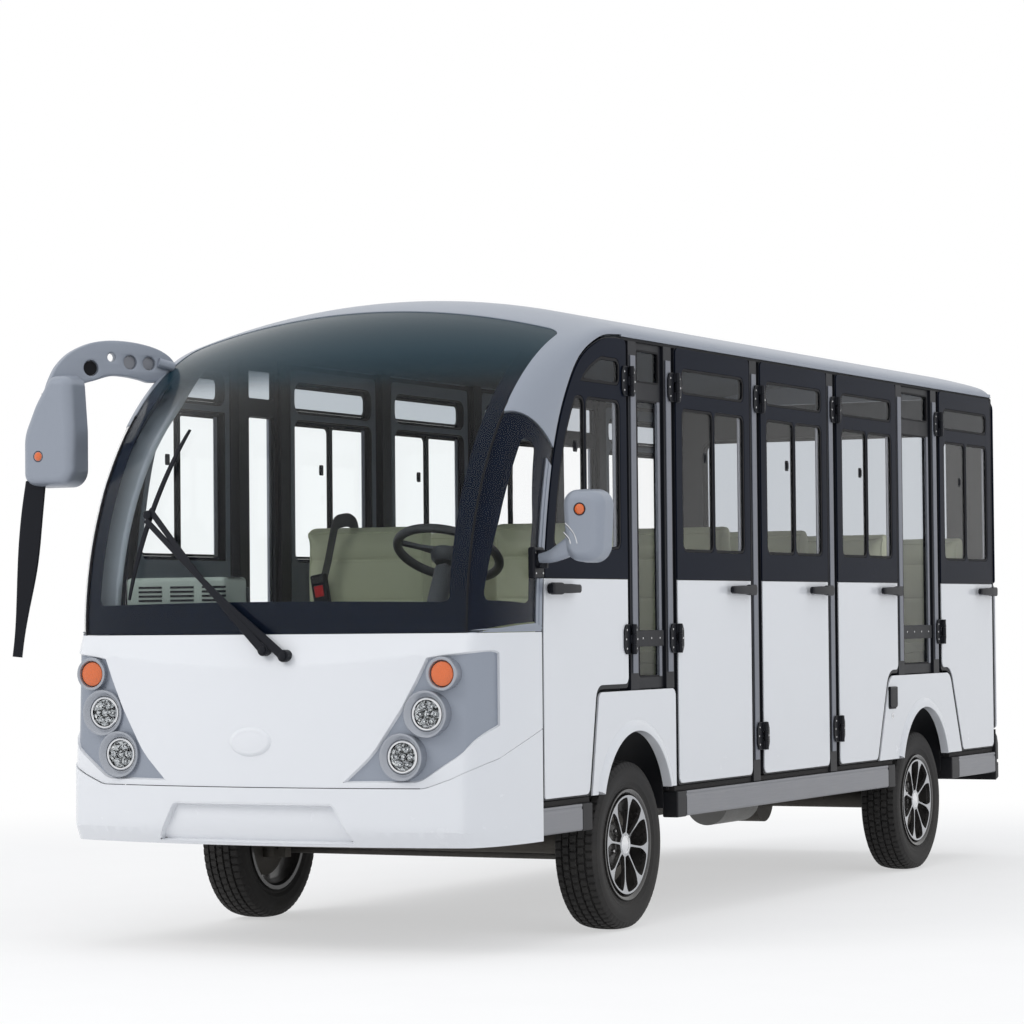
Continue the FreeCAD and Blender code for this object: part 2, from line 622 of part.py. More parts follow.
# ---------------------------------------------------------------- chassis
RAIL_X = (270.0, 340.0)
RAIL_Z = (330.0, FLOOR_TOP - FLOOR_THICKNESS - JOIN)
CROSS_MEMBERS = [NOSE_Y + 130, FRONT_AXLE_Y + 450, -100.0, REAR_AXLE_Y - 480, REAR_WALL_Y - 160]
OUTRIGGERS = [NOSE_Y + 130, FRONT_AXLE_Y + 400, -100.0, REAR_AXLE_Y - 420, REAR_WALL_Y - 160]
FRONT_OUTRIGGER_END = 590.0
TOW_EYE = {"y": REAR_Y - 55, "z": 276.0, "thickness": 14.0, "hole_radius": 12.5}
WHEEL_BOX_TOP = 690.0
WHEEL_BOX_INNER = 395.0
WHEEL_BOX_WALL = 14.0


def bumper_inner_y(x):
    """Y of the front bumper's inner face at its foot, at a distance from the centre line."""
    return nose_y_at(x, BUMPER_SHIFT[-1][1]) + BUMPER_THICKNESS


def wheel_box(axle_y):
    """Left wheel housing: a box that is open below and towards the arch."""
    x = (WHEEL_BOX_INNER, DOOR_INNER - DOOR_CLEARANCE)
    y = (axle_y - MOUTH, axle_y + MOUTH)
    wall = WHEEL_BOX_WALL
    outer = box(x, y, (RAIL_Z[1] + JOIN, WHEEL_BOX_TOP))
    hollow = box((x[0] + wall, x[1] + 10), (y[0] + wall, y[1] - wall), (0, WHEEL_BOX_TOP - wall))
    return outer.cut(hollow)


def tow_eye():
    """Upright plate under the last cross member, with the towing hole behind it."""
    half = TOW_EYE["thickness"] / 2
    front = CROSS_MEMBERS[-1] - 30
    z = TOW_EYE["z"]
    plate = box((-half, half), (front, TOW_EYE["y"] + 32), (z - 30, REAR_BUMPER_Z[0] - 4))
    root = box((-half, half), (front, front + 50), (z - 30, RAIL_Z[0] + 1))
    hole = rod((-50, TOW_EYE["y"], z), (50, TOW_EYE["y"], z), TOW_EYE["hole_radius"])
    return fused([plate, root]).cut(hole)


def build_chassis():
    """Two rails, cross members between them and outriggers beside them, welded face to face."""
    rail_y = (bumper_inner_y(RAIL_X[1]) + JOIN, REAR_WALL_Y - REAR_THICKNESS - JOIN)
    rails = [box((s * RAIL_X[0], s * RAIL_X[1]), rail_y, RAIL_Z) for s in (1, -1)]
    inside = RAIL_X[0] - JOIN
    crosses = [box((-inside, inside), (y - 30, y + 30), RAIL_Z) for y in CROSS_MEMBERS]
    outrigger_x = (RAIL_X[1] + JOIN, HALF - SILL_DEPTH - JOIN)
    outrigger_z = (RAIL_Z[0] + 40, RAIL_Z[1])
    outriggers = [box(outrigger_x, (y - 25, y + 25), outrigger_z) for y in OUTRIGGERS[1:]]
    outriggers.append(box((outrigger_x[0], FRONT_OUTRIGGER_END), (OUTRIGGERS[0] - 25, OUTRIGGERS[0] + 25), outrigger_z))
    crosses[-1] = fused([crosses[-1], tow_eye()])
    save("chassis_frame", rails + crosses + both_sides(outriggers))
    floor_y = (NOSE_Y + 160, REAR_WALL_Y - REAR_THICKNESS - JOIN)
    floor = box((-DOOR_INNER + 5, DOOR_INNER - 5), floor_y, (FLOOR_TOP - FLOOR_THICKNESS, FLOOR_TOP))
    for axle in (FRONT_AXLE_Y, REAR_AXLE_Y):
        well = box((WHEEL_BOX_INNER - JOIN, HALF), (axle - MOUTH - JOIN, axle + MOUTH + JOIN), (0, 600))
        floor = floor.cut(Part.makeCompound(both_sides([well])))
    notches = [box((690, HALF), (NOSE_Y, DOOR_LINE + 20), (0, 600))]
    for y in PILLARS:
        notches.append(box((HALF - PILLAR_DEPTH - JOIN, HALF), (y - JOIN, y + PILLAR_WIDTH + JOIN), (0, 600)))
    save("floor_pan", floor.cut(Part.makeCompound(both_sides(notches))))
    save("wheel_boxes", both_sides([wheel_box(FRONT_AXLE_Y), wheel_box(REAR_AXLE_Y)]))


AXLE_TUBE_RADIUS = 34.0
SPRING_HALF_LENGTH = 420.0
KNUCKLE_HALF_HEIGHT = 42.0
EYE_HEIGHT = 26.0
DRUM_RADIUS = 112.0
DIFF_RADIUS = 96.0


def leaf_springs(axle_y):
    """Left leaf pack on its seat over the axle tube, with hangers up to the frame rail."""
    x = (RAIL_X[0] + 5, RAIL_X[1] - 5)
    top = TYRE_RADIUS + AXLE_TUBE_RADIUS + 3
    seat = box((x[0] - 5, x[1] + 5), (axle_y - 45, axle_y + 45), (TYRE_RADIUS, top))
    leaves = [box(x, (axle_y - reach, axle_y + reach), (top + 6 * i, top + 6 * (i + 1)))
              for i, reach in ((0, 220), (1, 320), (2, SPRING_HALF_LENGTH))]
    hangers = [box(x, (axle_y + s * SPRING_HALF_LENGTH - 20, axle_y + s * SPRING_HALF_LENGTH + 20),
                   (top + 12, RAIL_Z[0] - JOIN)) for s in (-1, 1)]
    return [seat] + leaves + hangers


def kingpin_fork():
    """Left end of the front axle: two eyes above and below the knuckle, with the kingpin hole."""
    z = TYRE_RADIUS
    inner_end = KINGPIN_X - 34
    y = (FRONT_AXLE_Y - 20, FRONT_AXLE_Y + 20)
    reach = KNUCKLE_HALF_HEIGHT + EYE_HEIGHT
    parts = [box((inner_end - 30, inner_end - 4), y, (z - reach, z + reach))]
    for low in (z - reach, z + KNUCKLE_HALF_HEIGHT):
        parts.append(rod((KINGPIN_X, FRONT_AXLE_Y, low), (KINGPIN_X, FRONT_AXLE_Y, low + EYE_HEIGHT), 28))
        parts.append(box((inner_end - 20, KINGPIN_X), y, (low, low + EYE_HEIGHT)))
    hole = rod((KINGPIN_X, FRONT_AXLE_Y, 0), (KINGPIN_X, FRONT_AXLE_Y, 600), KINGPIN_RADIUS + SHAFT_PLAY)
    return fused(parts).cut(hole)


def build_front_axle():
    end = KINGPIN_X - 34 - 10
    beam = rod((-end, FRONT_AXLE_Y, TYRE_RADIUS), (end, FRONT_AXLE_Y, TYRE_RADIUS), AXLE_TUBE_RADIUS)
    save("front_axle", fused([beam] + both_sides([kingpin_fork()] + leaf_springs(FRONT_AXLE_Y))))


ARM_LENGTH = 104.0
ARM_TOP = TYRE_RADIUS - 14.0
ARM_THICKNESS = 14.0
TIE_ROD_RADIUS = 12.0
TIE_ROD_BACK = ARM_LENGTH - 14.0
STUD_RADIUS = 9.0


def build_knuckles():
    z = TYRE_RADIUS
    pin_reach = KNUCKLE_HALF_HEIGHT + EYE_HEIGHT
    block = rod((KINGPIN_X, FRONT_AXLE_Y, z - KNUCKLE_HALF_HEIGHT + 1),
                (KINGPIN_X, FRONT_AXLE_Y, z + KNUCKLE_HALF_HEIGHT - 1), 27)
    pin = rod((KINGPIN_X, FRONT_AXLE_Y, z - pin_reach), (KINGPIN_X, FRONT_AXLE_Y, z + pin_reach), KINGPIN_RADIUS)
    spindle = rod((KINGPIN_X, FRONT_AXLE_Y, z), (WHEEL_CENTRE_X + 50, FRONT_AXLE_Y, z), SPINDLE_RADIUS)
    arm = box((KINGPIN_X - 14, KINGPIN_X + 14), (FRONT_AXLE_Y + 10, FRONT_AXLE_Y + ARM_LENGTH),
              (ARM_TOP - ARM_THICKNESS, ARM_TOP))
    left = fused([block, pin, spindle, arm])
    save("knuckle_left", left)
    save("knuckle_right", mirrored(left))
    y = FRONT_AXLE_Y + TIE_ROD_BACK
    z_rod = ARM_TOP - ARM_THICKNESS - 8 - TIE_ROD_RADIUS
    stud = rod((KINGPIN_X, y, z_rod), (KINGPIN_X, y, ARM_TOP - ARM_THICKNESS - JOIN), STUD_RADIUS)
    bar = rod((-KINGPIN_X - 12, y, z_rod), (KINGPIN_X + 12, y, z_rod), TIE_ROD_RADIUS)
    save("tie_rod", fused([bar] + both_sides([stud])))


def build_rear_axle():
    z = TYRE_RADIUS
    drum_outer = WHEEL_CENTRE_X - 32
    tube = rod((-drum_outer, REAR_AXLE_Y, z), (drum_outer, REAR_AXLE_Y, z), AXLE_TUBE_RADIUS)
    drum = rod((drum_outer - 40, REAR_AXLE_Y, z), (drum_outer, REAR_AXLE_Y, z), DRUM_RADIUS)
    stub = rod((drum_outer, REAR_AXLE_Y, z), (WHEEL_CENTRE_X + 50, REAR_AXLE_Y, z), SPINDLE_RADIUS)
    diff = rod((-70, REAR_AXLE_Y, z), (70, REAR_AXLE_Y, z), DIFF_RADIUS)
    save("rear_axle", fused([tube, diff] + both_sides([drum, stub] + leaf_springs(REAR_AXLE_Y))))
    motor_y = REAR_AXLE_Y - DIFF_RADIUS
    save("drive_motor", rod((0, motor_y - 330, z), (0, motor_y - JOIN, z), 88))


BATTERY = {"x": 255.0, "y": (FRONT_AXLE_Y + 699, FRONT_AXLE_Y + 1979), "z": (286.0, RAIL_Z[0] + 70)}


def build_battery():
    pack = box((-BATTERY["x"], BATTERY["x"]), BATTERY["y"], BATTERY["z"])
    cross = [box((-600, 600), (y - 30 - JOIN, y + 30 + JOIN), (RAIL_Z[0] - JOIN, 600)) for y in CROSS_MEMBERS]
    save("battery_pack", pack.cut(Part.makeCompound(cross)))


def turned_solid(profile, centre_x, axle_y):
    """Solid of revolution about a wheel's axis from (x offset, radius) points."""
    points = [V(centre_x + x, axle_y, TYRE_RADIUS + r) for x, r in profile]
    face = Part.Face(Part.makePolygon(points + points[:1]))
    return face.revolve(V(0, axle_y, TYRE_RADIUS), V(1, 0, 0), 360)


def build_wheels():
    half, bore = RIM_WIDTH / 2, SPINDLE_RADIUS + SHAFT_PLAY
    seat, lip = RIM_RADIUS, RIM_RADIUS + RIM_FLANGE
    barrel = seat - 10
    disc_out, disc_in = half - 12, half - 34
    rim_profile = [(-half, lip), (-half, barrel), (disc_in - 8, barrel), (disc_in, 70), (disc_in - 20, 60),
                   (disc_in - 20, bore), (disc_out, bore), (disc_out, 60), (disc_out, barrel - 12),
                   (half, barrel + 4), (half, lip), (half - 7, lip), (half - 7, seat), (-half + 7, seat),
                   (-half + 7, lip)]
    flank, tread = TYRE_WIDTH / 2, TYRE_RADIUS
    bead = half - 7
    tyre_profile = [(-bead, seat), (bead, seat), (bead, lip + 2), (flank - 4, lip + 22), (flank, lip + 45),
                    (flank - 3, tread - 28), (flank - 12, tread - 9), (flank - 26, tread - 1.5),
                    (0, tread), (-flank + 26, tread - 1.5), (-flank + 12, tread - 9), (-flank + 3, tread - 28),
                    (-flank, lip + 45), (-flank + 4, lip + 22), (-bead, lip + 2)]
    for place, axle_y in (("front", FRONT_AXLE_Y), ("rear", REAR_AXLE_Y)):
        rim = turned_solid(rim_profile, WHEEL_CENTRE_X, axle_y)
        tyre = turned_solid(tyre_profile, WHEEL_CENTRE_X, axle_y)
        save("rim_%s_left" % place, rim)
        save("rim_%s_right" % place, mirrored(rim))
        save("tyre_%s_left" % place, tyre)
        save("tyre_%s_right" % place, mirrored(tyre))


# ---------------------------------------------------------------- cabin
CUSHION_TOP = 885.0
CUSHION_THICKNESS = 105.0
CUSHION_DEPTH = 430.0
BACK_TOP = 1330.0
BACK_THICKNESS = 85.0
BOARD_THICKNESS = 20.0
SEAT_HALF = 640.0
FRONT_SEATS = [(110.0, 610.0), (-610.0, -110.0)]
SEAT_FRONTS = {1: DOOR_LINE + 440, 2: door_2 + 245, 3: door_3 + 245, 4: door_4 + 380,
               5: REAR_WALL_Y - REAR_THICKNESS - CUSHION_DEPTH - BACK_THICKNESS - 20}


def build_seats():
    cushions, backs, frames = [], [], []
    board_z = CUSHION_TOP - CUSHION_THICKNESS - JOIN
    for row, front in SEAT_FRONTS.items():
        for x in FRONT_SEATS if row == 1 else [(-SEAT_HALF, SEAT_HALF)]:
            y = (front, front + CUSHION_DEPTH)
            cushions.append(box(x, y, (CUSHION_TOP - CUSHION_THICKNESS, CUSHION_TOP)))
            back = box(x, (y[1] + 6, y[1] + 6 + BACK_THICKNESS), (CUSHION_TOP - CUSHION_THICKNESS, BACK_TOP))
            backs.append(back)
            frames.append(box((x[0] + 10, x[1] - 10), (y[0] + 20, y[1] + 80), (board_z - BOARD_THICKNESS, board_z)))
            foot = WHEEL_BOX_TOP if row in (1, 4) else FLOOR_TOP
            for leg_x in (x[0] + 30, x[1] - 60) if row == 1 else (-600.0, -25.0, 570.0):
                base = foot if abs(leg_x) > WHEEL_BOX_INNER else FLOOR_TOP
                frames.append(box((leg_x, leg_x + 30), (y[0] + 60, y[1] - 20),
                                  (base + JOIN, board_z - BOARD_THICKNESS - JOIN)))
    save("seat_cushions", cushions)
    save("seat_backs", backs)
    save("seat_frames", frames)


WHEEL_HUB = (330.0, NOSE_Y + 680.0, 1205.0)
COLUMN_TILT = 28.0
STEERING_WHEEL_RADIUS = 178.0
COLUMN_LENGTH = 470.0
DASH_HALF = 600.0
KICK_PANEL = {"half": 540.0, "y": (NOSE_Y + 190, NOSE_Y + 212)}
DASH_CLEARANCE = 14.0         # behind the lamps and the windscreen
DASH_BOX = {"x": (-560.0, -200.0), "y": (NOSE_Y + 200, NOSE_Y + 345), "top": 1138.0}


def along_column(distance):
    """Point on the steering column's axis, from the wheel's hub down."""
    turn = math.radians(COLUMN_TILT)
    return (WHEEL_HUB[0], WHEEL_HUB[1] - distance * math.sin(turn), WHEEL_HUB[2] - distance * math.cos(turn))


def build_controls():
    hub, axis = V(*WHEEL_HUB), V(*WHEEL_HUB) - V(*along_column(1))
    ring = Part.makeTorus(STEERING_WHEEL_RADIUS - 14, 14, hub, axis)
    boss = rod(along_column(-8), along_column(40), 42)
    spokes = []
    for turn in (0, 120, 240):
        spoke = box((-14, 14), (30, STEERING_WHEEL_RADIUS - 14), (-6, 6))
        spoke.rotate(V(0, 0, 0), V(0, 0, 1), turn)
        spoke.rotate(V(0, 0, 0), V(1, 0, 0), -COLUMN_TILT)
        spoke.translate(hub)
        spokes.append(spoke)
    shaft = rod(along_column(30), along_column(120), 11)
    save("steering_wheel", fused([ring, boss, shaft] + spokes))
    column = rod(along_column(50), along_column(COLUMN_LENGTH), 32)
    column = column.cut(rod(along_column(0), along_column(130), 11 + SHAFT_PLAY))
    save("steering_column", column)
    depth = (NOSE_Y + 118, NOSE_Y + 430)
    points = [(depth[0], 900), (depth[0], 1000), (depth[0] + 90, 1040), (depth[1] - 60, 1030), (depth[1], 930),
              (depth[1], 760), (depth[1] - 60, 740), (depth[0] + 60, 740)]
    dash = side_slab(side_face(points), -DASH_HALF, DASH_HALF)
    edge = [(DASH_HALF * i / 6, nose_y_at(DASH_HALF * i / 6) + 4 + LAMP_DEPTH + DASH_CLEARANCE) for i in range(-6, 7)]
    plan = [V(x, y, 700) for x, y in edge + [(DASH_HALF, depth[1] + 1), (-DASH_HALF, depth[1] + 1)]]
    dash = dash.common(Part.Face(Part.makePolygon(plan + plan[:1])).extrude(V(0, 0, 400)))
    kick_panel = box((-KICK_PANEL["half"], KICK_PANEL["half"]), KICK_PANEL["y"], (FLOOR_TOP + JOIN, 760))
    bracket_y = along_column(COLUMN_LENGTH - 60)[1]
    bracket = box((WHEEL_HUB[0] - 46, WHEEL_HUB[0] + 46), (depth[1] - 20, bracket_y), (790, 880))
    raised = box(DASH_BOX["x"], DASH_BOX["y"], (1015, DASH_BOX["top"]))
    dash = fused([dash, raised, kick_panel, bracket]).cut(rod(along_column(0), along_column(COLUMN_LENGTH + 60), 32 + JOIN))
    save("dashboard", dash)


# ---------------------------------------------------------------- mirrors, wiper, charge flap
def swept(points, radius):
    """Round bar along a smooth curve through the points."""
    path = Part.BSplineCurve()
    path.interpolate([V(*p) for p in points])
    start, direction = V(*points[0]), path.tangent(path.FirstParameter)[0]
    section = Part.Wire(Part.makeCircle(radius, start, direction))
    return Part.Wire(path.toShape()).makePipeShell([section], True, True)


def pad(x, y, z, radius):
    """Box with its upright edges rounded, then its level ones."""
    solid = box(x, y, z)
    upright = [e for e in solid.Edges if abs(e.Vertexes[0].Z - e.Vertexes[1].Z) > 1]
    solid = solid.makeFillet(radius, upright)
    level = [e for e in solid.Edges if abs(e.BoundBox.ZLength) < 1e-6]
    return solid.makeFillet(radius * 0.6, level)


MIRROR_FOOT_X = HALF - 2      # face of the quarter glass at the front door's edge
LEFT_MIRROR = {"x": (HALF + 98, HALF + 250), "y": (DOOR_LINE - 96, DOOR_LINE - 12), "z": (1163.0, 1390.0)}
RIGHT_MIRROR = {"x": (-HALF - 245, -HALF - 55), "y": (DOOR_LINE - 238, DOOR_LINE - 142), "z": (1430.0, 1750.0)}
RIGHT_ARM = [(-HALF - 150, DOOR_LINE - 190, 1735), (-HALF - 130, DOOR_LINE - 166, 1838),
             (-HALF - 58, DOOR_LINE - 60, 1908), (30 - HALF, DOOR_LINE + 85, 1905),
             (95 - HALF, DOOR_LINE + 190, 1858)]
RIGHT_STRIP = [(-HALF - 195, DOOR_LINE - 208, 1440), (-HALF - 229, DOOR_LINE - 266, 895)]


def build_mirrors():
    head = pad(LEFT_MIRROR["x"], LEFT_MIRROR["y"], LEFT_MIRROR["z"], 30)
    arm = rod((MIRROR_FOOT_X + 6, DOOR_LINE - 50, 1185), (LEFT_MIRROR["x"][0] + 30, DOOR_LINE - 54, 1202), 17)
    foot = box((MIRROR_FOOT_X - 8, MIRROR_FOOT_X + 18), (DOOR_LINE - 86, DOOR_LINE - 14), (1120, 1215))
    foot = foot.cut(dome_corner(SCREEN_THICKNESS, 3 - JOIN))
    foot = max(foot.Solids, key=lambda s: s.Volume)
    save("mirror_left", fused([head, arm, foot]))
    head = pad(RIGHT_MIRROR["x"], RIGHT_MIRROR["y"], RIGHT_MIRROR["z"], 34)
    arm = swept(RIGHT_ARM, 27).cut(mirrored(dome_corner(ROOF_THICKNESS + JOIN, -JOIN)))
    arm = max(arm.Solids, key=lambda s: s.Volume)
    save("mirror_right", fused([head, arm, rod(*RIGHT_STRIP, 22)]))


WIPER_PIVOTS = [(116.0, 895.0), (47.0, 913.0)]
WIPER_PIVOT_Y = NOSE_Y + 1.0
WIPER_HEAD = (-429.0, 1330.0)
WIPER_BLADE = [(-477.0, 1068.0), (-371.0, 1598.0)]
WIPER_ROD_RADIUS = 7.0
WIPER_HEAD_RADIUS = 19.0


def on_dome(x, z, proud):
    """Point in front of the windscreen, proud of the dome's outline by a distance."""
    radius = DOME_RADIUS - DOME_SAG * (x / DOME_SEAM_X) ** 2 + proud
    return (x, DOME_Y - math.sqrt(radius ** 2 - (z - WAIST) ** 2), z)


def build_wiper():
    (low_x, low_z), (high_x, high_z) = WIPER_BLADE
    steps = [i / 4 for i in range(5)]
    blade = swept([on_dome(low_x + t * (high_x - low_x), low_z + t * (high_z - low_z), 5.4) for t in steps],
                  WIPER_ROD_RADIUS)
    parts = [blade, rod(on_dome(*WIPER_HEAD, 5.5), on_dome(*WIPER_HEAD, 38), WIPER_HEAD_RADIUS)]
    fascia = nose_shell(FASCIA_SHIFT, FASCIA_THICKNESS + JOIN, -JOIN)
    for (x, z), side in zip(WIPER_PIVOTS, (-1, 1)):
        post = rod((x, WIPER_PIVOT_Y, z), (x, WIPER_PIVOT_Y + 60, z), 12).cut(fascia)
        parts.append(min(post.Solids, key=lambda s: s.CenterOfMass.y))
        end_x, end_z = WIPER_HEAD[0], WIPER_HEAD[1] + side * 9
        middle = ((x + end_x) / 2, (z + end_z) / 2)
        parts.append(swept([(x, WIPER_PIVOT_Y + 8, z), on_dome(*middle, 24), on_dome(end_x, end_z, 27)],
                           WIPER_ROD_RADIUS))
    save("wiper", fused(parts))


FLAP = {"y": (REAR_AXLE_Y - 400, REAR_AXLE_Y - 320), "z": (644.0, 720.0), "thickness": 8.0}


def build_charge_flap():
    y, z = FLAP["y"], FLAP["z"]
    lid = box((HALF + JOIN, HALF + JOIN + FLAP["thickness"]), y, z)
    barrel_x = HALF + JOIN + FLAP["thickness"] / 2
    barrel = rod((barrel_x, y[0], z[1]), (barrel_x, y[1], z[1]), FLAP["thickness"] / 2)
    save("charge_flap", fused([lid, barrel]))


build_sides(build_doors())
build_roof()
build_front()
build_glass()
build_sills()
build_rear()
build_chassis()
build_front_axle()
build_knuckles()
build_rear_axle()
build_battery()
build_wheels()
build_seats()
build_controls()
build_mirrors()
build_wiper()
build_charge_flap()
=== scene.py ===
"""Looks of the electric sightseeing bus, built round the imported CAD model. Metres, front towards -Y."""

import json
import math

import bmesh
import bpy
from mathutils import Matrix, Vector
from mathutils.bvhtree import BVHTree
from mathutils.geometry import delaunay_2d_cdt
from mathutils.kdtree import KDTree

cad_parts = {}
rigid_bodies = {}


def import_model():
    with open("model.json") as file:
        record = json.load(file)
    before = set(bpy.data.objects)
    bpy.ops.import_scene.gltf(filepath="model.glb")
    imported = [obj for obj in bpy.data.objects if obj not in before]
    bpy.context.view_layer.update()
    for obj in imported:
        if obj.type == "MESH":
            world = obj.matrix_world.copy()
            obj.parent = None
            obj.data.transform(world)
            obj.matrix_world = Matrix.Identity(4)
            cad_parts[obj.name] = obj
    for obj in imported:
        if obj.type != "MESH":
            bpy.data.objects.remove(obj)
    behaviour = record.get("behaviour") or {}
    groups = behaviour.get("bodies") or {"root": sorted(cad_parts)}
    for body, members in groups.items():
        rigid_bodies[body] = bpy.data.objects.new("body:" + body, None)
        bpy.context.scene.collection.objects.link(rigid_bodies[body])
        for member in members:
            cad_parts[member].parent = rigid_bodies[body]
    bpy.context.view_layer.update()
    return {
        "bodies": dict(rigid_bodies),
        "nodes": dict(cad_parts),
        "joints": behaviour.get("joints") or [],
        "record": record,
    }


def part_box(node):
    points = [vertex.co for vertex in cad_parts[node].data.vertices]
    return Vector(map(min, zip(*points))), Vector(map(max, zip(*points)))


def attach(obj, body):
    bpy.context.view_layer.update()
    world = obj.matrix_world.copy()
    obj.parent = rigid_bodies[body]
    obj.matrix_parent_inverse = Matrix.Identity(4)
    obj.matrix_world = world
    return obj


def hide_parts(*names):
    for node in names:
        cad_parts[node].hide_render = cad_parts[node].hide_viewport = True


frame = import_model()
NODES = frame["nodes"]
JOINTS = {joint["name"]: joint for joint in frame["joints"]}
SCENE = bpy.context.scene

# ---------------------------------------------------------------- sizes shared with the CAD model
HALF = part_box("rear_panel")[1].x
DOOR_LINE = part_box("door_left_1")[0].y
DOOR_BOTTOM, DOOR_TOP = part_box("door_left_2")[0].z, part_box("door_left_2")[1].z
BELT = 1.122
PANEL_GAP = 0.008
EAVE = DOOR_TOP + PANEL_GAP
DOOR_THICKNESS = 0.030
DOOR_WIDTH = 0.645
FRONT_DOOR_WIDTH = 0.633
PILLAR_WIDTH = 0.066
HINGE_GAP = 0.020
LATCH_GAP = 0.010
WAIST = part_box("windshield")[0].z
SEAM_X = 0.665                # windscreen edge
DOME_RADIUS = 1.085
DOME_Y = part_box("windshield")[0].y - 0.003 + DOME_RADIUS
DOME_SAG = 0.093
DOME_ARC = (SEAM_X ** 2 + DOME_SAG ** 2) / (2 * DOME_SAG)
SEAM_RADIUS = DOME_RADIUS - DOME_SAG
CAP_ANGLE = math.radians(71.5)
CLAW_ANGLE = math.radians(45.0)
FRONT_DOOR_CURVE = [(0, 0), (0.011, 0.162), (0.051, 0.400), (0.105, 0.585), (0.179, 0.727), (0.284, 0.848),
                    (0.433, 0.917), (0.560, 0.933)]     # back from the door's front edge, up from the waist
WINDOW_MARGIN = 0.060
WINDOW_Z = (1.222, 1.684)
TRANSOM_Z = (1.744, 1.817)
SLIDER_BAR = 0.020
TYRE_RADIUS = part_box("tyre_front_left")[1].z / 2
FRONT_AXLE_Y = JOINTS["wheel_front_left_spin"]["pos_m"][1]
REAR_AXLE_Y = JOINTS["wheel_rear_left_spin"]["pos_m"][1]
DOOR_START = {n: JOINTS["door_left_%d_hinge" % n]["pos_m"][1] + HINGE_GAP / 2 for n in (2, 3, 4, 5)}
DOOR_START[1] = DOOR_LINE
HINGE_X = JOINTS["door_left_2_hinge"]["pos_m"][0]
REAR_WALL_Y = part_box("rear_panel")[1].y
SIDES = ((1, "left"), (-1, "right"))


# ---------------------------------------------------------------- camera, light and floor
CAMERA_PLACE = Vector((5.2579, -11.2630, 1.0059))
CAMERA_AZIMUTH, CAMERA_PITCH, CAMERA_ROLL = [math.radians(v) for v in (26.3024, 1.75255, -0.5423)]
CAMERA_LENS = 120.17


def add_camera():
    camera = bpy.data.objects.new("camera", bpy.data.cameras.new("camera"))
    SCENE.collection.objects.link(camera)
    camera.data.lens = CAMERA_LENS
    camera.data.sensor_width = 36
    camera.data.clip_end = 200
    turn, pitch, roll = CAMERA_AZIMUTH, CAMERA_PITCH, CAMERA_ROLL
    forward = Vector((-math.sin(turn) * math.cos(pitch), math.cos(turn) * math.cos(pitch), math.sin(pitch)))
    right = Vector((math.cos(turn), math.sin(turn), 0))
    up = right.cross(forward)
    x = right * math.cos(roll) + up * math.sin(roll)
    y = up * math.cos(roll) - right * math.sin(roll)
    camera.matrix_world = Matrix.Translation(CAMERA_PLACE) @ Matrix((x, y, -forward)).transposed().to_4x4()
    SCENE.camera = camera


def area_light(name, place, target, size, power, colour=(1, 1, 1)):
    data = bpy.data.lights.new(name, "AREA")
    data.shape, data.size, data.size_y = "RECTANGLE", size[0], size[1]
    data.energy, data.color = power, colour
    lamp = bpy.data.objects.new(name, data)
    SCENE.collection.objects.link(lamp)
    lamp.location = place
    lamp.rotation_euler = (Vector(target) - Vector(place)).to_track_quat("-Z", "Y").to_euler()
    lamp.visible_glossy = False
    lamp.visible_transmission = False
    return lamp


class Nodes:
    """Short way to write a node tree."""

    def __init__(self, tree):
        self.tree = tree
        self.tree.nodes.clear()

    def add(self, kind, inputs=None, **settings):
        node = self.tree.nodes.new("ShaderNode" + kind)
        for key, value in settings.items():
            setattr(node, key, value)
        for key, value in (inputs or {}).items():
            self.put(node.inputs[key], value)
        return node

    def put(self, socket, value):
        if isinstance(value, bpy.types.NodeSocket):
            self.tree.links.new(value, socket)
        elif isinstance(value, bpy.types.Node):
            self.tree.links.new(value.outputs[0], socket)
        else:
            socket.default_value = value

    def math(self, operation, *values, clamp=False):
        node = self.add("Math", operation=operation, use_clamp=clamp)
        for i, value in enumerate(values):
            self.put(node.inputs[i], value)
        return node.outputs[0]

    def mix(self, factor, first, second):
        node = self.add("Mix", data_type="RGBA")
        for name, kind, value in (("Factor", "VALUE", factor), ("A", "RGBA", first), ("B", "RGBA", second)):
            socket = next(s for s in node.inputs if s.name == name and s.type == kind)
            self.put(socket, (*value, 1.0) if isinstance(value, tuple) else value)
        return next(s for s in node.outputs if s.type == "RGBA")

    def band(self, value, low, high):
        """0 below low, 1 above high, smooth between."""
        node = self.add("MapRange", {"Value": value, "From Min": low, "From Max": high},
                        interpolation_type="SMOOTHSTEP")
        return node.outputs[0]

    def place(self):
        """Object coordinates as (vector, x, y, z); every piece keeps its origin at the bus's origin."""
        vector = self.add("TexCoord").outputs["Object"]
        split = self.add("SeparateXYZ", {0: vector})
        return vector, split.outputs[0], split.outputs[1], split.outputs[2]

    def noise(self, vector, scale, detail=3.0, roughness=0.5):
        return self.add("TexNoise", {"Vector": vector, "Scale": scale, "Detail": detail,
                                     "Roughness": roughness}).outputs["Fac"]

    def bump(self, height, strength, distance):
        return self.add("Bump", {"Height": height, "Strength": strength, "Distance": distance}).outputs[0]


def background_rays(nodes):
    """1 for the rays that show the plain white background."""
    path = nodes.add("LightPath")
    total = path.outputs["Is Camera Ray"]
    for name in ("Is Glossy Ray", "Is Transmission Ray"):
        total = nodes.math("MAXIMUM", total, path.outputs[name])
    return total


def new_material(name):
    mat = bpy.data.materials.new(name)
    mat.use_nodes = True
    return mat, Nodes(mat.node_tree)


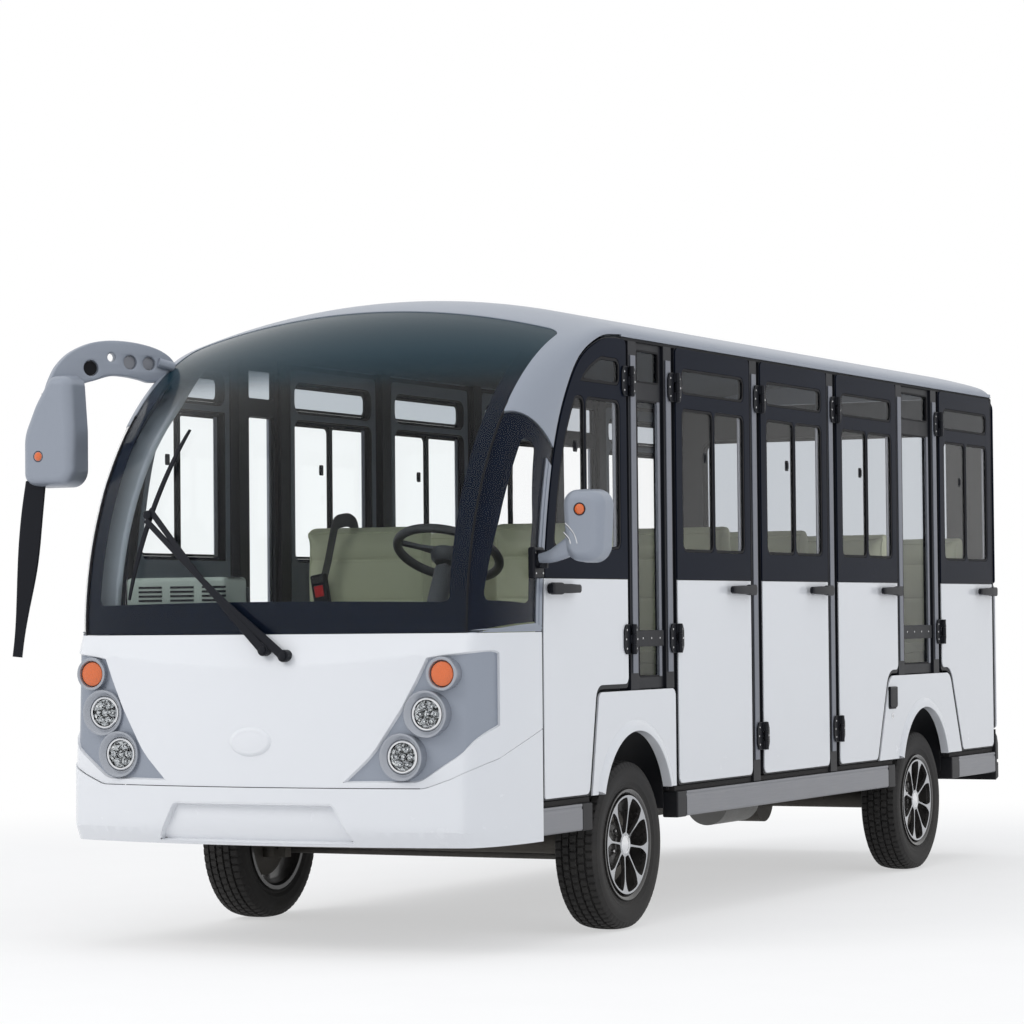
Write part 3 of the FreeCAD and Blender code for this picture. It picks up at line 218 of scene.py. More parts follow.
def add_world():
    world = bpy.data.worlds.new("studio")
    SCENE.world = world
    world.use_nodes = True
    n = Nodes(world.node_tree)
    sky = n.add("TexCoord").outputs["Generated"]
    height = n.add("SeparateXYZ", {0: sky}).outputs[2]
    up = n.band(height, -0.1, 0.9)
    light = n.add("Background", {"Color": n.mix(up, (0.66, 0.69, 0.74), (0.96, 0.98, 1.0)), "Strength": 0.80})
    white = n.add("Background", {"Color": (1, 1, 1, 1), "Strength": 1.0})
    seen = background_rays(n)
    n.add("OutputWorld", {"Surface": n.add("MixShader", {0: seen, 1: light, 2: white})})


FLOOR_SIZE = 60.0


def add_floor():
    mesh = bpy.data.meshes.new("floor")
    s = FLOOR_SIZE
    mesh.from_pydata([(-s, -s, 0), (s, -s, 0), (s, s, 0), (-s, s, 0)], [], [(0, 1, 2, 3)])
    floor = bpy.data.objects.new("floor", mesh)
    SCENE.collection.objects.link(floor)
    material, n = new_material("floor_white")
    vector = n.place()[0]
    distance = n.add("VectorMath", {0: vector}, operation="LENGTH").outputs["Value"]
    far = n.band(distance, 3.2, 6.5)
    grain = n.noise(vector, 3.0)
    tone = n.mix(grain, (0.80, 0.80, 0.81), (0.84, 0.84, 0.85))
    lit = n.add("BsdfDiffuse", {"Color": tone})
    white = n.add("Emission", {"Color": (1, 1, 1, 1), "Strength": 1.0})
    seen = background_rays(n)
    lift = n.math("MULTIPLY", seen, n.math("MULTIPLY_ADD", far, 0.45, 0.55))
    n.add("OutputMaterial", {"Surface": n.add("MixShader", {0: lift, 1: lit, 2: white})})
    mesh.materials.append(material)


add_camera()
add_world()
add_floor()
area_light("key", (-5.0, -9.0, 7.5), (0, -1.5, 0.9), (6, 5), 450, (1.0, 0.985, 0.96))
area_light("fill", (9.0, -3.5, 6.0), (0.5, 0, 1.0), (7, 5), 132, (0.96, 0.98, 1.0))
area_light("top", (0.0, 1.0, 9.0), (0, 0, 1.5), (9, 9), 215)


# ---------------------------------------------------------------- materials
def material(name, base, roughness=0.5, metallic=0.0, coat=0.0, coat_roughness=0.05, tint=0.04, tint_scale=3.0,
             wear=0.06, wear_scale=14.0, grain=0.0, grain_scale=900.0, dust=0.0, specular=0.5, sheen=0.0, extra=None):
    """Procedural finish: slow colour change, uneven roughness, fine grain and dust near the ground."""
    mat, n = new_material(name)
    vector, x, y, z = n.place()
    cloud = n.noise(vector, tint_scale, 4.0)
    colour = n.mix(cloud, tuple(c * (1 - tint) for c in base), tuple(min(1, c * (1 + tint)) for c in base))
    scuff = n.noise(vector, wear_scale, 6.0, 0.65)
    rough = n.math("MULTIPLY_ADD", scuff, 2 * wear, roughness - wear)
    if dust:
        low = n.math("SUBTRACT", 1.0, n.band(z, 0.25, 0.75))
        film = n.math("MULTIPLY", n.math("MULTIPLY", low, scuff), dust)
        colour = n.mix(film, colour, (0.36, 0.33, 0.28))
        rough = n.math("MULTIPLY_ADD", film, 0.5, rough)
    shader = n.add("BsdfPrincipled", {"Base Color": colour, "Roughness": rough, "Metallic": metallic,
                                      "Coat Weight": coat, "Coat Roughness": coat_roughness,
                                      "Specular IOR Level": specular, "Sheen Weight": sheen})
    if grain:
        n.put(shader.inputs["Normal"], n.bump(n.noise(vector, grain_scale, 2.0), 1.0, grain))
    if extra:
        extra(n, shader, vector, x, y, z, colour)
    n.add("OutputMaterial", {"Surface": shader})
    return mat


def glass(name, base, roughness=0.0, fade=None, ior=1.16):
    """Tinted pane; it lets light fall through so that the cabin isn't black. fade is (heights, glass, veil)."""
    mat, n = new_material(name)
    vector, x, y, z = n.place()
    film = n.noise(vector, 6.0, 4.0)
    colour = n.mix(film, tuple(c * 0.985 for c in base), base)
    if fade:
        heights, dark_glass, veil_colour = fade
        shade = n.band(z, *heights)
        colour = n.mix(shade, colour, dark_glass)
    pane = n.add("BsdfPrincipled", {"Base Color": colour, "Roughness": roughness, "IOR": ior,
                                    "Transmission Weight": 1.0})
    if fade:
        veil = n.add("BsdfPrincipled", {"Base Color": (*veil_colour, 1.0), "Roughness": 0.25,
                                        "Specular IOR Level": 0.1})
        pane = n.add("MixShader", {0: n.math("MULTIPLY", shade, 0.72), 1: pane, 2: veil})
    open_way = n.add("BsdfTransparent", {"Color": colour})
    shadow = n.add("LightPath").outputs["Is Shadow Ray"]
    n.add("OutputMaterial", {"Surface": n.add("MixShader", {0: shadow, 1: pane, 2: open_way})})
    return mat


def flakes(n, shader, vector, x, y, z, colour):
    """Metal flakes in the silver paint."""
    fine = n.noise(vector, 2600.0, 1.0)
    n.put(shader.inputs["Base Color"], n.mix(n.math("MULTIPLY", fine, 0.30), colour, (0.62, 0.67, 0.75)))


def brushed(n, shader, vector, x, y, z, colour):
    """Grain of drawn aluminium, along the bus."""
    stretched = n.add("Mapping", {"Vector": vector, "Scale": (1.0, 0.012, 1.0)}).outputs[0]
    lines = n.noise(stretched, 700.0, 3.0)
    n.put(shader.inputs["Roughness"], n.math("MULTIPLY_ADD", lines, 0.22, 0.30))
    n.put(shader.inputs["Normal"], n.bump(lines, 0.5, 0.0003))


def hide_grain(n, shader, vector, x, y, z, colour):
    """Leathercloth: shallow cells with fine creases."""
    cells = n.add("TexVoronoi", {"Vector": vector, "Scale": 330.0}, feature="DISTANCE_TO_EDGE").outputs[0]
    crease = n.band(cells, 0.0, 0.25)
    wrinkle = n.noise(vector, 55.0, 4.0)
    n.put(shader.inputs["Normal"], n.bump(n.math("MULTIPLY_ADD", wrinkle, 0.8, crease), 0.7, 0.0006))


def ribs(n, shader, vector, x, y, z, colour):
    """Ribbed rubber floor."""
    wave = n.math("ABSOLUTE", n.math("SINE", n.math("MULTIPLY", x, 260.0)))
    n.put(shader.inputs["Normal"], n.bump(wave, 0.8, 0.002))


def facets(scale, depth):
    """Moulded prisms of a lens or reflector."""
    def build(n, shader, vector, x, y, z, colour):
        cells = n.add("TexVoronoi", {"Vector": vector, "Scale": scale}).outputs[0]
        n.put(shader.inputs["Normal"], n.bump(cells, 1.0, depth))
    return build


def webbing(n, shader, vector, x, y, z, colour):
    """Woven ribs of a belt."""
    wave = n.math("SINE", n.math("MULTIPLY", z, 2600.0))
    cross = n.math("SINE", n.math("MULTIPLY", n.math("ADD", x, y), 1700.0))
    n.put(shader.inputs["Normal"], n.bump(n.math("MULTIPLY", wave, cross), 0.6, 0.0004))


BEZEL = material("lamp_bezel", (0.36, 0.38, 0.42), 0.25, metallic=0.6, tint=0.04, wear=0.04)
WHITE = material("white_paint", (0.735, 0.75, 0.78), 0.26, coat=0.3, specular=0.35, tint=0.012, wear=0.03,
                 grain=0.00010, grain_scale=420.0, dust=0.02)
SILVER = material("silver_paint", (0.235, 0.26, 0.31), 0.38, metallic=0.35, coat=0.05, specular=0.2, tint=0.03,
                  wear=0.04, grain=0.00008, grain_scale=500.0, dust=0.05, extra=flakes)
FRIT = material("black_glass_border", (0.0065, 0.0095, 0.019), 0.14, tint=0.15, wear=0.02, specular=0.02)
PLASTIC = material("black_plastic", (0.010, 0.011, 0.015), 0.42, tint=0.15, grain=0.00008, grain_scale=700.0,
                   dust=0.08, specular=0.16)
RUBBER = material("rubber", (0.009, 0.009, 0.011), 0.72, tint=0.2, grain=0.0002, grain_scale=700.0, dust=0.1,
                  specular=0.25)
TRIM = material("inner_trim", (0.115, 0.138, 0.170), 0.48, tint=0.06, grain=0.00005, grain_scale=300.0)
POST = material("post_cover", (0.43, 0.47, 0.53), 0.42, tint=0.05, grain=0.0001, grain_scale=400.0)
LINING = material("roof_lining", (0.055, 0.070, 0.092), 0.85, tint=0.06, grain=0.0001, grain_scale=200.0)
ALUMINIUM = material("sill_aluminium", (0.222, 0.230, 0.256), 0.40, metallic=0.8, tint=0.05, dust=0.2, extra=brushed)
BARE_ALUMINIUM = material("pillar_aluminium", (0.185, 0.196, 0.230), 0.40, metallic=0.75, tint=0.04, extra=brushed)
STEEL = material("black_steel", (0.022, 0.022, 0.024), 0.50, tint=0.25, wear=0.12, grain=0.0006, grain_scale=260.0,
                 dust=0.5)
CAST = material("cast_iron", (0.055, 0.052, 0.050), 0.62, metallic=0.3, tint=0.25, wear=0.12, grain=0.0012,
                grain_scale=320.0, dust=0.5)
MOTOR = material("cast_aluminium", (0.24, 0.245, 0.25), 0.50, metallic=0.7, tint=0.1, wear=0.1, grain=0.0006,
                 grain_scale=500.0, dust=0.4)
CHROME = material("chrome", (0.72, 0.73, 0.75), 0.12, metallic=1.0, tint=0.03, wear=0.04)
SCREW = material("bright_screw", (0.62, 0.62, 0.63), 0.28, metallic=1.0, tint=0.08, wear=0.08)
REFLECTOR = material("lamp_reflector", (0.78, 0.79, 0.80), 0.08, metallic=1.0, tint=0.03, extra=facets(95.0, 0.004))
LENS = glass("lamp_lens", (0.97, 0.98, 0.98))
AMBER = material("amber_lens", (0.66, 0.12, 0.014), 0.14, coat=0.8, tint=0.1, extra=facets(170.0, 0.0012))
RED_LENS = material("red_lens", (0.52, 0.012, 0.014), 0.14, coat=0.8, tint=0.1, extra=facets(160.0, 0.0012))
WINDOW = glass("window_glass", (0.985, 0.99, 0.992), ior=1.12)
SMOKED = glass("smoked_glass", (0.52, 0.55, 0.59), ior=1.12)
SCREEN = glass("windscreen_glass", (0.93, 0.965, 0.97), ior=1.17,
               fade=((1.70, 1.86), (0.015, 0.065, 0.11), (0.010, 0.038, 0.056)))
MIRROR = material("mirror_glass", (0.85, 0.87, 0.89), 0.03, metallic=1.0, tint=0.01, wear=0.01)
TYRE = material("tyre_rubber", (0.012, 0.012, 0.0135), 0.70, tint=0.2, tint_scale=9.0, wear=0.08, grain=0.0003,
                grain_scale=800.0, dust=0.10, specular=0.3)
RIM_BLACK = material("rim_black", (0.010, 0.010, 0.012), 0.25, coat=0.4, tint=0.2, dust=0.15)
MACHINED = material("rim_machined", (0.42, 0.43, 0.45), 0.24, metallic=1.0, tint=0.05, grain=0.0001, grain_scale=900.0)
SEAT = material("seat_leathercloth", (0.50, 0.53, 0.37), 0.52, tint=0.07, wear=0.08, extra=hide_grain)
THREAD = material("seat_thread", (0.42, 0.42, 0.30), 0.7, tint=0.1, grain=0.0003, grain_scale=2000.0)
SEAT_STEEL = material("seat_steel", (0.035, 0.036, 0.040), 0.42, tint=0.12, grain=0.0002, grain_scale=700.0)
FLOOR = material("floor_rubber", (0.075, 0.078, 0.082), 0.62, tint=0.12, wear=0.1, extra=ribs)
RAISED = material("dash_grey_green", (0.27, 0.305, 0.28), 0.5, tint=0.08, grain=0.0004, grain_scale=900.0)
DASH = material("dash_plastic", (0.032, 0.035, 0.042), 0.55, tint=0.1, grain=0.0005, grain_scale=900.0)
WHEEL_GRIP = material("wheel_grip", (0.020, 0.021, 0.024), 0.45, tint=0.15, extra=hide_grain)
HUB_GREY = material("hub_grey", (0.030, 0.033, 0.040), 0.42, tint=0.06, grain=0.0003, grain_scale=1300.0)
BELT_WEB = material("belt_webbing", (0.022, 0.025, 0.034), 0.6, tint=0.15, sheen=0.3, extra=webbing)
RED_PLASTIC = material("red_plastic", (0.55, 0.015, 0.02), 0.35, tint=0.08, grain=0.0002, grain_scale=1200.0)


# ---------------------------------------------------------------- shapes
def new_mesh(vertices, faces):
    mesh = bpy.data.meshes.new("part")
    mesh.from_pydata([tuple(v) for v in vertices], [], faces)
    mesh.validate()
    return mesh


def outward(mesh, merge=0.0, fill=False):
    """Turn a mesh's faces outwards, once points that coincide are merged and open edges are filled."""
    bm = bmesh.new()
    bm.from_mesh(mesh)
    if merge:
        bmesh.ops.remove_doubles(bm, verts=bm.verts, dist=merge)
    if fill:
        bmesh.ops.holes_fill(bm, edges=[e for e in bm.edges if e.is_boundary])
    bmesh.ops.recalc_face_normals(bm, faces=bm.faces)
    bm.to_mesh(mesh)
    bm.free()
    return mesh


def ring_faces(count, rows, closed=False, open_profile=False):
    """Quads between rows of equally many points; closed joins the last row to the first."""
    faces = []
    for i in range(rows - (not closed)):
        here, there = i * count, (i + 1) % rows * count
        for k in range(count - open_profile):
            m = (k + 1) % count
            faces.append([here + k, here + m, there + m, there + k])
    return faces


def skin(loops, closed=False):
    """Closed mesh over loops of equally many points: a torus, or a bar with flat ends."""
    count, rows = len(loops[0]), len(loops)
    faces = ring_faces(count, rows, closed)
    if not closed:
        faces += [list(range(count))[::-1], [(rows - 1) * count + k for k in range(count)]]
    return outward(new_mesh([v for loop in loops for v in loop], faces))


def thick(outer, inner, faces):
    """Closed sheet between two layers of points that share their faces."""
    count, sides = len(outer), {}
    for face in faces:
        for a, b in zip(face, face[1:] + face[:1]):
            if (b, a) in sides:
                del sides[(b, a)]
            else:
                sides[(a, b)] = True
    all_faces = faces + [[i + count for i in reversed(face)] for face in faces]
    all_faces += [[b, a, a + count, b + count] for a, b in sides]
    return outward(new_mesh(outer + inner, all_faces))


def moved(mesh, matrix):
    copy = mesh.copy()
    copy.transform(matrix)
    if matrix.determinant() < 0:
        copy.flip_normals()
    return copy


def mirror(mesh):
    return moved(mesh, Matrix.Diagonal((-1, 1, 1, 1)))


def modified(mesh, kind, **settings):
    """Copy of a mesh with one modifier applied."""
    obj = bpy.data.objects.new("work", mesh)
    SCENE.collection.objects.link(obj)
    tool = obj.modifiers.new("work", kind)
    for key, value in settings.items():
        setattr(tool, key, value)
    bpy.context.view_layer.update()
    result = bpy.data.meshes.new_from_object(obj.evaluated_get(bpy.context.evaluated_depsgraph_get()))
    bpy.data.objects.remove(obj)
    return result


def bevelled(mesh, width, angle):
    """Round the edges of a closed mesh that are sharper than an angle in degrees."""
    return modified(mesh, "BEVEL", width=width, segments=2, limit_method="ANGLE", angle_limit=math.radians(angle))


def piece(name, parts, body="body", stands_for=(), smooth=32):
    """One object from (mesh, material) pairs, riding on a body."""
    bm, materials = bmesh.new(), []
    for mesh, finish in parts:
        if finish not in materials:
            materials.append(finish)
        index, first = materials.index(finish), len(bm.faces)
        bm.from_mesh(mesh)
        bm.faces.ensure_lookup_table()
        for face in bm.faces[first:]:
            face.material_index = index
            face.smooth = True
    mesh = bpy.data.meshes.new(name)
    bm.to_mesh(mesh)
    bm.free()
    for finish in materials:
        mesh.materials.append(finish)
    mesh.set_sharp_from_angle(angle=math.radians(smooth))
    obj = bpy.data.objects.new(name, mesh)
    SCENE.collection.objects.link(obj)
    weighted = obj.modifiers.new("normals", "WEIGHTED_NORMAL")
    weighted.mode, weighted.weight, weighted.keep_sharp = "FACE_AREA", 50, True
    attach(obj, body)
    if stands_for:
        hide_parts(*stands_for)
    return obj


def rounded(points, radius, steps=6):
    """Closed outline with its corners rounded; radius is one number or one for each corner."""
    count = len(points)
    radii = radius if isinstance(radius, (list, tuple)) else [radius] * count
    result = []
    for i in range(count):
        here = Vector(points[i])
        a, b = Vector(points[i - 1]) - here, Vector(points[(i + 1) % count]) - here
        angle = a.angle(b)
        if radii[i] <= 0 or angle > math.pi - 0.02:
            result.append(tuple(here))
            continue
        reach = min(radii[i] / math.tan(angle / 2), a.length * 0.49, b.length * 0.49)
        r = reach * math.tan(angle / 2)
        a.normalize()
        b.normalize()
        centre = here + (a + b).normalized() * (r / math.sin(angle / 2))
        first, last = here + a * reach - centre, here + b * reach - centre
        start = math.atan2(first.y, first.x)
        turn = (math.atan2(last.y, last.x) - start + math.pi) % (2 * math.pi) - math.pi
        for k in range(steps + 1):
            t = start + turn * k / steps
            result.append((centre.x + r * math.cos(t), centre.y + r * math.sin(t)))
    return result


def rectangle(x, y, radius=0.0, steps=5):
    corners = [(x[0], y[0]), (x[1], y[0]), (x[1], y[1]), (x[0], y[1])]
    return rounded(corners, radius, steps) if radius else corners


def circle(x, y, radius, steps=32):
    return [(x + radius * math.cos(2 * math.pi * i / steps), y + radius * math.sin(2 * math.pi * i / steps))
            for i in range(steps)]


def divided(points, step, closed=True):
    """The same outline with points at most a step apart."""
    result = []
    pairs = zip(points, points[1:] + points[:1] if closed else points[1:])
    for a, b in pairs:
        parts = max(1, math.ceil(math.dist(a, b) / step))
        result += [tuple(p + (q - p) * k / parts for p, q in zip(a, b)) for k in range(parts)]
    return result if closed else result + [points[-1]]


def inset(points, distance):
    """Closed outline moved to its left by a distance, for an outline that runs anticlockwise."""
    result = []
    count = len(points)
    for i in range(count):
        a, here, b = Vector(points[i - 1]), Vector(points[i]), Vector(points[(i + 1) % count])
        one, two = (here - a).normalized(), (b - here).normalized()
        left_one, left_two = Vector((-one.y, one.x)), Vector((-two.y, two.x))
        middle = (left_one + left_two).normalized()
        result.append(tuple(here + middle * (distance / max(0.35, middle.dot(left_one)))))
    return result


def inside(point, loop):
    x, y = point
    odd = False
    for (ax, ay), (bx, by) in zip(loop, loop[1:] + loop[:1]):
        if (ay > y) != (by > y) and x < (bx - ax) * (y - ay) / (by - ay) + ax:
            odd = not odd
    return odd


def flat_region(outline, holes, spacing, creases=()):
    """Points and triangles that fill a flat region."""
    loops = [outline] + list(holes)
    points, edges = [], []
    for loop in loops:
        first = len(points)
        points += [Vector(p) for p in loop]
        edges += [(first + i, first + (i + 1) % len(loop)) for i in range(len(loop))]
    for line in creases:
        first = len(points)
        points += [Vector(p) for p in line]
        edges += [(first + i, first + i + 1) for i in range(len(line) - 1)]
    fixed = list(points)
    xs, ys = [p[0] for p in outline], [p[1] for p in outline]
    columns = max(1, round((max(xs) - min(xs)) / spacing))
    rows = max(1, round((max(ys) - min(ys)) / spacing))
    for i in range(1, columns):
        for j in range(1, rows):
            p = (min(xs) + (max(xs) - min(xs)) * i / columns, min(ys) + (max(ys) - min(ys)) * j / rows)
            if inside(p, outline) and not any(inside(p, hole) for hole in holes):
                if min((q.x - p[0]) ** 2 + (q.y - p[1]) ** 2 for q in fixed) > (spacing * 0.4) ** 2:
                    points.append(Vector(p))
    verts, _, faces, _, _, _ = delaunay_2d_cdt(points, edges, [], 0, 1e-7)
    kept = []
    for face in faces:
        middle = sum((verts[i] for i in face), Vector((0, 0))) / len(face)
        if inside(middle, outline) and not any(inside(middle, hole) for hole in holes):
            kept.append(list(face))
    return verts, kept


def sheet_on(surface, outline, holes=(), spacing=0.03, thickness=0.004, creases=(), front=0.0):
    """Curved sheet: a flat region laid on surface(u, v, inset), with its thickness inwards."""
    points, faces = flat_region(outline, holes, spacing, creases)
    outer, inner = [[surface(p.x, p.y, depth) for p in points] for depth in (front, front + thickness)]
    return thick(outer, inner, faces)


WELD = 1e-6


def plate(outline, holes=(), low=0.0, high=0.004, bevel=0.0008, segments=2):
    """Flat plate in the local (x, y) plane between two heights, its edges rounded."""
    curve = bpy.data.curves.new("plate", "CURVE")
    curve.dimensions, curve.fill_mode = "2D", "BOTH"
    bevel = min(bevel, (high - low) * 0.45)
    curve.extrude = (high - low) / 2 - bevel
    curve.bevel_depth, curve.bevel_resolution, curve.offset = bevel, segments - 1, -bevel
    for loop in [outline] + list(holes):
        spline = curve.splines.new("POLY")
        spline.points.add(len(loop) - 1)
        spline.use_cyclic_u = True
        for point, (x, y) in zip(spline.points, loop):
            point.co = (x, y, 0, 1)
    obj = bpy.data.objects.new("plate", curve)
    mesh = bpy.data.meshes.new_from_object(obj)
    bpy.data.objects.remove(obj)
    bpy.data.curves.remove(curve)
    outward(mesh, WELD)
    mesh.transform(Matrix.Translation((0, 0, (low + high) / 2)))
    mesh.materials.clear()
    return mesh


SIDE = Matrix(((0, 0, 1, 0), (1, 0, 0, 0), (0, 1, 0, 0), (0, 0, 0, 1)))     # local (x, y, z) to (Y, Z, X)
FRONT = Matrix(((1, 0, 0, 0), (0, 0, -1, 0), (0, 1, 0, 0), (0, 0, 0, 1)))   # local (x, y, z) to (X, Z, -Y)


def on_side(outline, holes, low, high, bevel=0.0012):
    """Plate in the (Y, Z) plane of the left side, between two distances outside that side's line."""
    return moved(plate(outline, holes, HALF + low, HALF + high, bevel), SIDE)


def block(x, y, z, bevel=0.002, segments=2):
    """Box with rounded edges."""
    corners = [(x[i], y[j], z[k]) for i in (0, 1) for j in (0, 1) for k in (0, 1)]
    faces = [(0, 1, 3, 2), (4, 6, 7, 5), (0, 4, 5, 1), (2, 3, 7, 6), (0, 2, 6, 4), (1, 5, 7, 3)]
    bm = bmesh.new()
    verts = [bm.verts.new(c) for c in corners]
    for face in faces:
        bm.faces.new([verts[i] for i in face])
    if bevel:
        bmesh.ops.bevel(bm, geom=list(bm.edges), offset=bevel, segments=segments, profile=0.5, affect="EDGES")
    bmesh.ops.recalc_face_normals(bm, faces=bm.faces)
    mesh = bpy.data.meshes.new("block")
    bm.to_mesh(mesh)
    bm.free()
    return mesh


def side_block(x, y, z, bevel=0.002, segments=2):
    """Box with x measured from the left side's line."""
    return block((HALF + x[0], HALF + x[1]), y, z, bevel, segments)


def spun(profile, start, direction, segments=32, closed=False):
    """Turned part: profile of (distance along, radius) points about an axis."""
    axis = Vector(direction).normalized()
    side = axis.orthogonal().normalized()
    other = axis.cross(side)
    verts = []
    for k in range(segments):
        t = math.tau * k / segments
        ray = side * math.cos(t) + other * math.sin(t)
        verts += [Vector(start) + axis * a + ray * r for a, r in profile]
    count = len(profile)
    faces = ring_faces(count, segments, True, not closed)
    if not closed:
        faces += [[k * count + end for k in range(segments)] for end in (0, count - 1) if profile[end][1] > WELD]
    return outward(new_mesh(verts, faces), WELD)


def rod(start, end, radius, bevel=0.001, segments=24):
    """Round bar with softened ends."""
    start, end = Vector(start), Vector(end)
    length = (end - start).length
    bevel = min(bevel, radius * 0.4, length * 0.4)
    profile = [(0, 0), (0, radius - bevel), (bevel * 0.3, radius - bevel * 0.3), (bevel, radius),
               (length - bevel, radius), (length - bevel * 0.3, radius - bevel * 0.3), (length, radius - bevel),
               (length, 0)]
    return spun(profile, start, end - start, segments)


def side_rod(x, y, z, radius, bevel=0.001, segments=24):
    """Round bar across the bus, with x measured from the left side's line."""
    return rod((HALF + x[0], y, z), (HALF + x[1], y, z), radius, bevel, segments)


def smooth_line(points, steps=10):
    """Points along a Catmull-Rom curve through the given ones."""
    pts = [Vector(p) for p in points]
    pts = [pts[0] * 2 - pts[1]] + pts + [pts[-1] * 2 - pts[-2]]
    result = []
    for a, b, c, d in zip(pts, pts[1:], pts[2:], pts[3:]):
        for k in range(steps):
            t = k / steps
            result.append(0.5 * ((2 * b) + (c - a) * t + (2 * a - 5 * b + 4 * c - d) * t ** 2
                                 + (3 * b - a - 3 * c + d) * t ** 3))
    return result + [pts[-2]]


def tube(path, section, closed_path=False, scale=None, up=(0, 0, 1)):
    """Sweep of a closed flat outline (right, up) along a path; scale gives its two factors at each point."""
    loops, last = [], len(path) - 1
    for i, here in enumerate(path):
        if closed_path:
            along = path[(i + 1) % len(path)] - path[i - 1]
        else:
            along = path[min(i + 1, last)] - path[max(i - 1, 0)]
        right = along.cross(Vector(up)).normalized()
        top = right.cross(along).normalized()
        wide, tall = scale(i / last) if scale else (1, 1)
        loops.append([here + right * (a * wide) + top * (b * tall) for a, b in section])
    return skin(loops, closed_path)


# ---------------------------------------------------------------- the dome's and nose's surfaces
CORNER_SPAN = 0.40            # how much of u the body corner takes, beyond the seam


def door_edge_points():
    """(y, z) along the front body's edge, one panel gap ahead of the front door."""
    ends = [(-0.001, -0.02)] + FRONT_DOOR_CURVE + [(0.70, 0.936)]
    line = smooth_line([(a, b, 0) for a, b in ends], 8)
    result = []
    for before, here, after in zip(line, line[1:], line[2:]):
        along = (after - before).normalized()
        result.append((DOOR_LINE + here.x - along.y * PANEL_GAP, WAIST + here.y + along.x * PANEL_GAP))
    return result


EDGE_TABLE = sorted((math.atan2(z - WAIST, DOME_Y - y), math.hypot(z - WAIST, DOME_Y - y))
                    for y, z in door_edge_points() if z >= WAIST - 0.001 and y < DOME_Y + 0.02)


def edge_radius(angle):
    """Distance of the door-side edge from the dome's axis at an angle above it."""
    if angle <= EDGE_TABLE[0][0]:
        return EDGE_TABLE[0][1]
    for (a, r), (b, s) in zip(EDGE_TABLE, EDGE_TABLE[1:]):
        if a <= angle <= b:
            return r + (s - r) * (angle - a) / max(1e-9, b - a)
    return EAVE - WAIST


def across(u, centre_shift, edge, inset_by):
    """(x, r) of a section across the bus: the barrel between the seams, then the body corner."""
    side = 1 if u >= 0 else -1
    u = abs(u)
    if u <= SEAM_X:
        return side * u, DOME_RADIUS + centre_shift - DOME_ARC + math.sqrt(DOME_ARC ** 2 - u ** 2) - inset_by
    t = min(1.0, (u - SEAM_X) / CORNER_SPAN)
    width = HALF - inset_by
    first = (SEAM_X, SEAM_RADIUS + centre_shift - inset_by)
    reach = (width - SEAM_X) * 0.62
    second = (SEAM_X + reach, first[1] - 2 * DOME_SAG / SEAM_X * reach)
    third = (width, edge + (first[1] - edge) * 0.5)
    last = (width, edge)
    s = 1 - t
    x, r = [s ** 3 * first[i] + 3 * s * s * t * second[i] + 3 * s * t * t * third[i] + t ** 3 * last[i]
            for i in (0, 1)]
    return side * x, r


def dome(u, angle, inset_by=0.0):
    x, r = across(u, 0, edge_radius(angle), inset_by)
    return Vector((x, DOME_Y - r * math.cos(angle), WAIST + r * math.sin(angle)))


def curve_value(table, value):
    for (a, p), (b, q) in zip(table, table[1:]):
        if value <= b or (b, q) == table[-1]:
            t = min(1.0, max(0.0, (value - a) / (b - a)))
            return p + (q - p) * t
    return table[-1][1]


def crease_height(u):
    return 0.860 + 0.13 * min(abs(u), 0.56) ** 2


def smooth_step(value, low, high):
    t = min(1.0, max(0.0, (value - low) / (high - low)))
    return t * t * (3 - 2 * t)


NOSE_EDGE = 0.655             # distance of the nose's side edge ahead of the dome's axis
NOSE_FORWARD = 0.040          # most that the nose stands ahead of the windscreen's foot
CREASE_FORWARD = 0.026


def fascia(u, z, inset_by=0.0):
    """White nose panel; it leans back above a soft crease below the windscreen."""
    crease = crease_height(u)
    lower = CREASE_FORWARD + (crease - z) * 0.040
    upper = CREASE_FORWARD * (WAIST - z) / max(0.02, WAIST - crease)
    blend = smooth_step(z, crease - 0.006, crease + 0.006)
    forward = lower * (1 - blend) + upper * blend
    x, r = across(u, min(forward, NOSE_FORWARD), NOSE_EDGE, inset_by)
    return Vector((x, DOME_Y - r, z))


# (height, distance ahead of the windscreen's foot)
BUMPER_SHIFT = [(0.320, 0.019), (0.330, 0.024), (0.372, 0.0462), (0.386, 0.0478), (0.60, 0.0478), (0.80, 0.040)]


def bumper(u, z, inset_by=0.0):
    ease = smooth_step(abs(u), SEAM_X + 0.12, SEAM_X + 0.38)
    x, r = across(u, curve_value(BUMPER_SHIFT, z) * (1 - 0.12 * ease), NOSE_EDGE, inset_by)
    return Vector((x, DOME_Y - r, z))


def u_of(x):
    """u of the nose's outer face at a distance x from the centre line."""
    side, x = (1 if x >= 0 else -1), abs(x)
    if x <= SEAM_X:
        return side * x
    low, high = 0.0, 1.0
    for _ in range(30):
        middle = (low + high) / 2
        if across(SEAM_X + middle * CORNER_SPAN, NOSE_FORWARD, NOSE_EDGE, 0)[0] < x:
            low = middle
        else:
            high = middle
    return side * (SEAM_X + low * CORNER_SPAN)


def front_outline(points, radii, step=0.012):
    """Outline given by its front view (x, z), laid out in (u, z)."""
    return [(u_of(x), z) for x, z in divided(rounded(points, radii, 6), step)]


def flipped(points):
    return [(-x, y) for x, y in reversed(points)]


def bar(half_width, half_height, radius=0.0, steps=5):
    """Rectangle about the origin."""
    return rectangle((-half_width, half_width), (-half_height, half_height), radius, steps)


def mirrored(parts):
    return [(mirror(mesh), finish) for mesh, finish in parts]


def both(name, parts, stands_for=(), smooth=32):
    """The left side's piece and its mirror image."""
    piece(name + "_left", parts, stands_for=stands_for, smooth=smooth)
    piece(name + "_right", mirrored(parts), smooth=smooth)


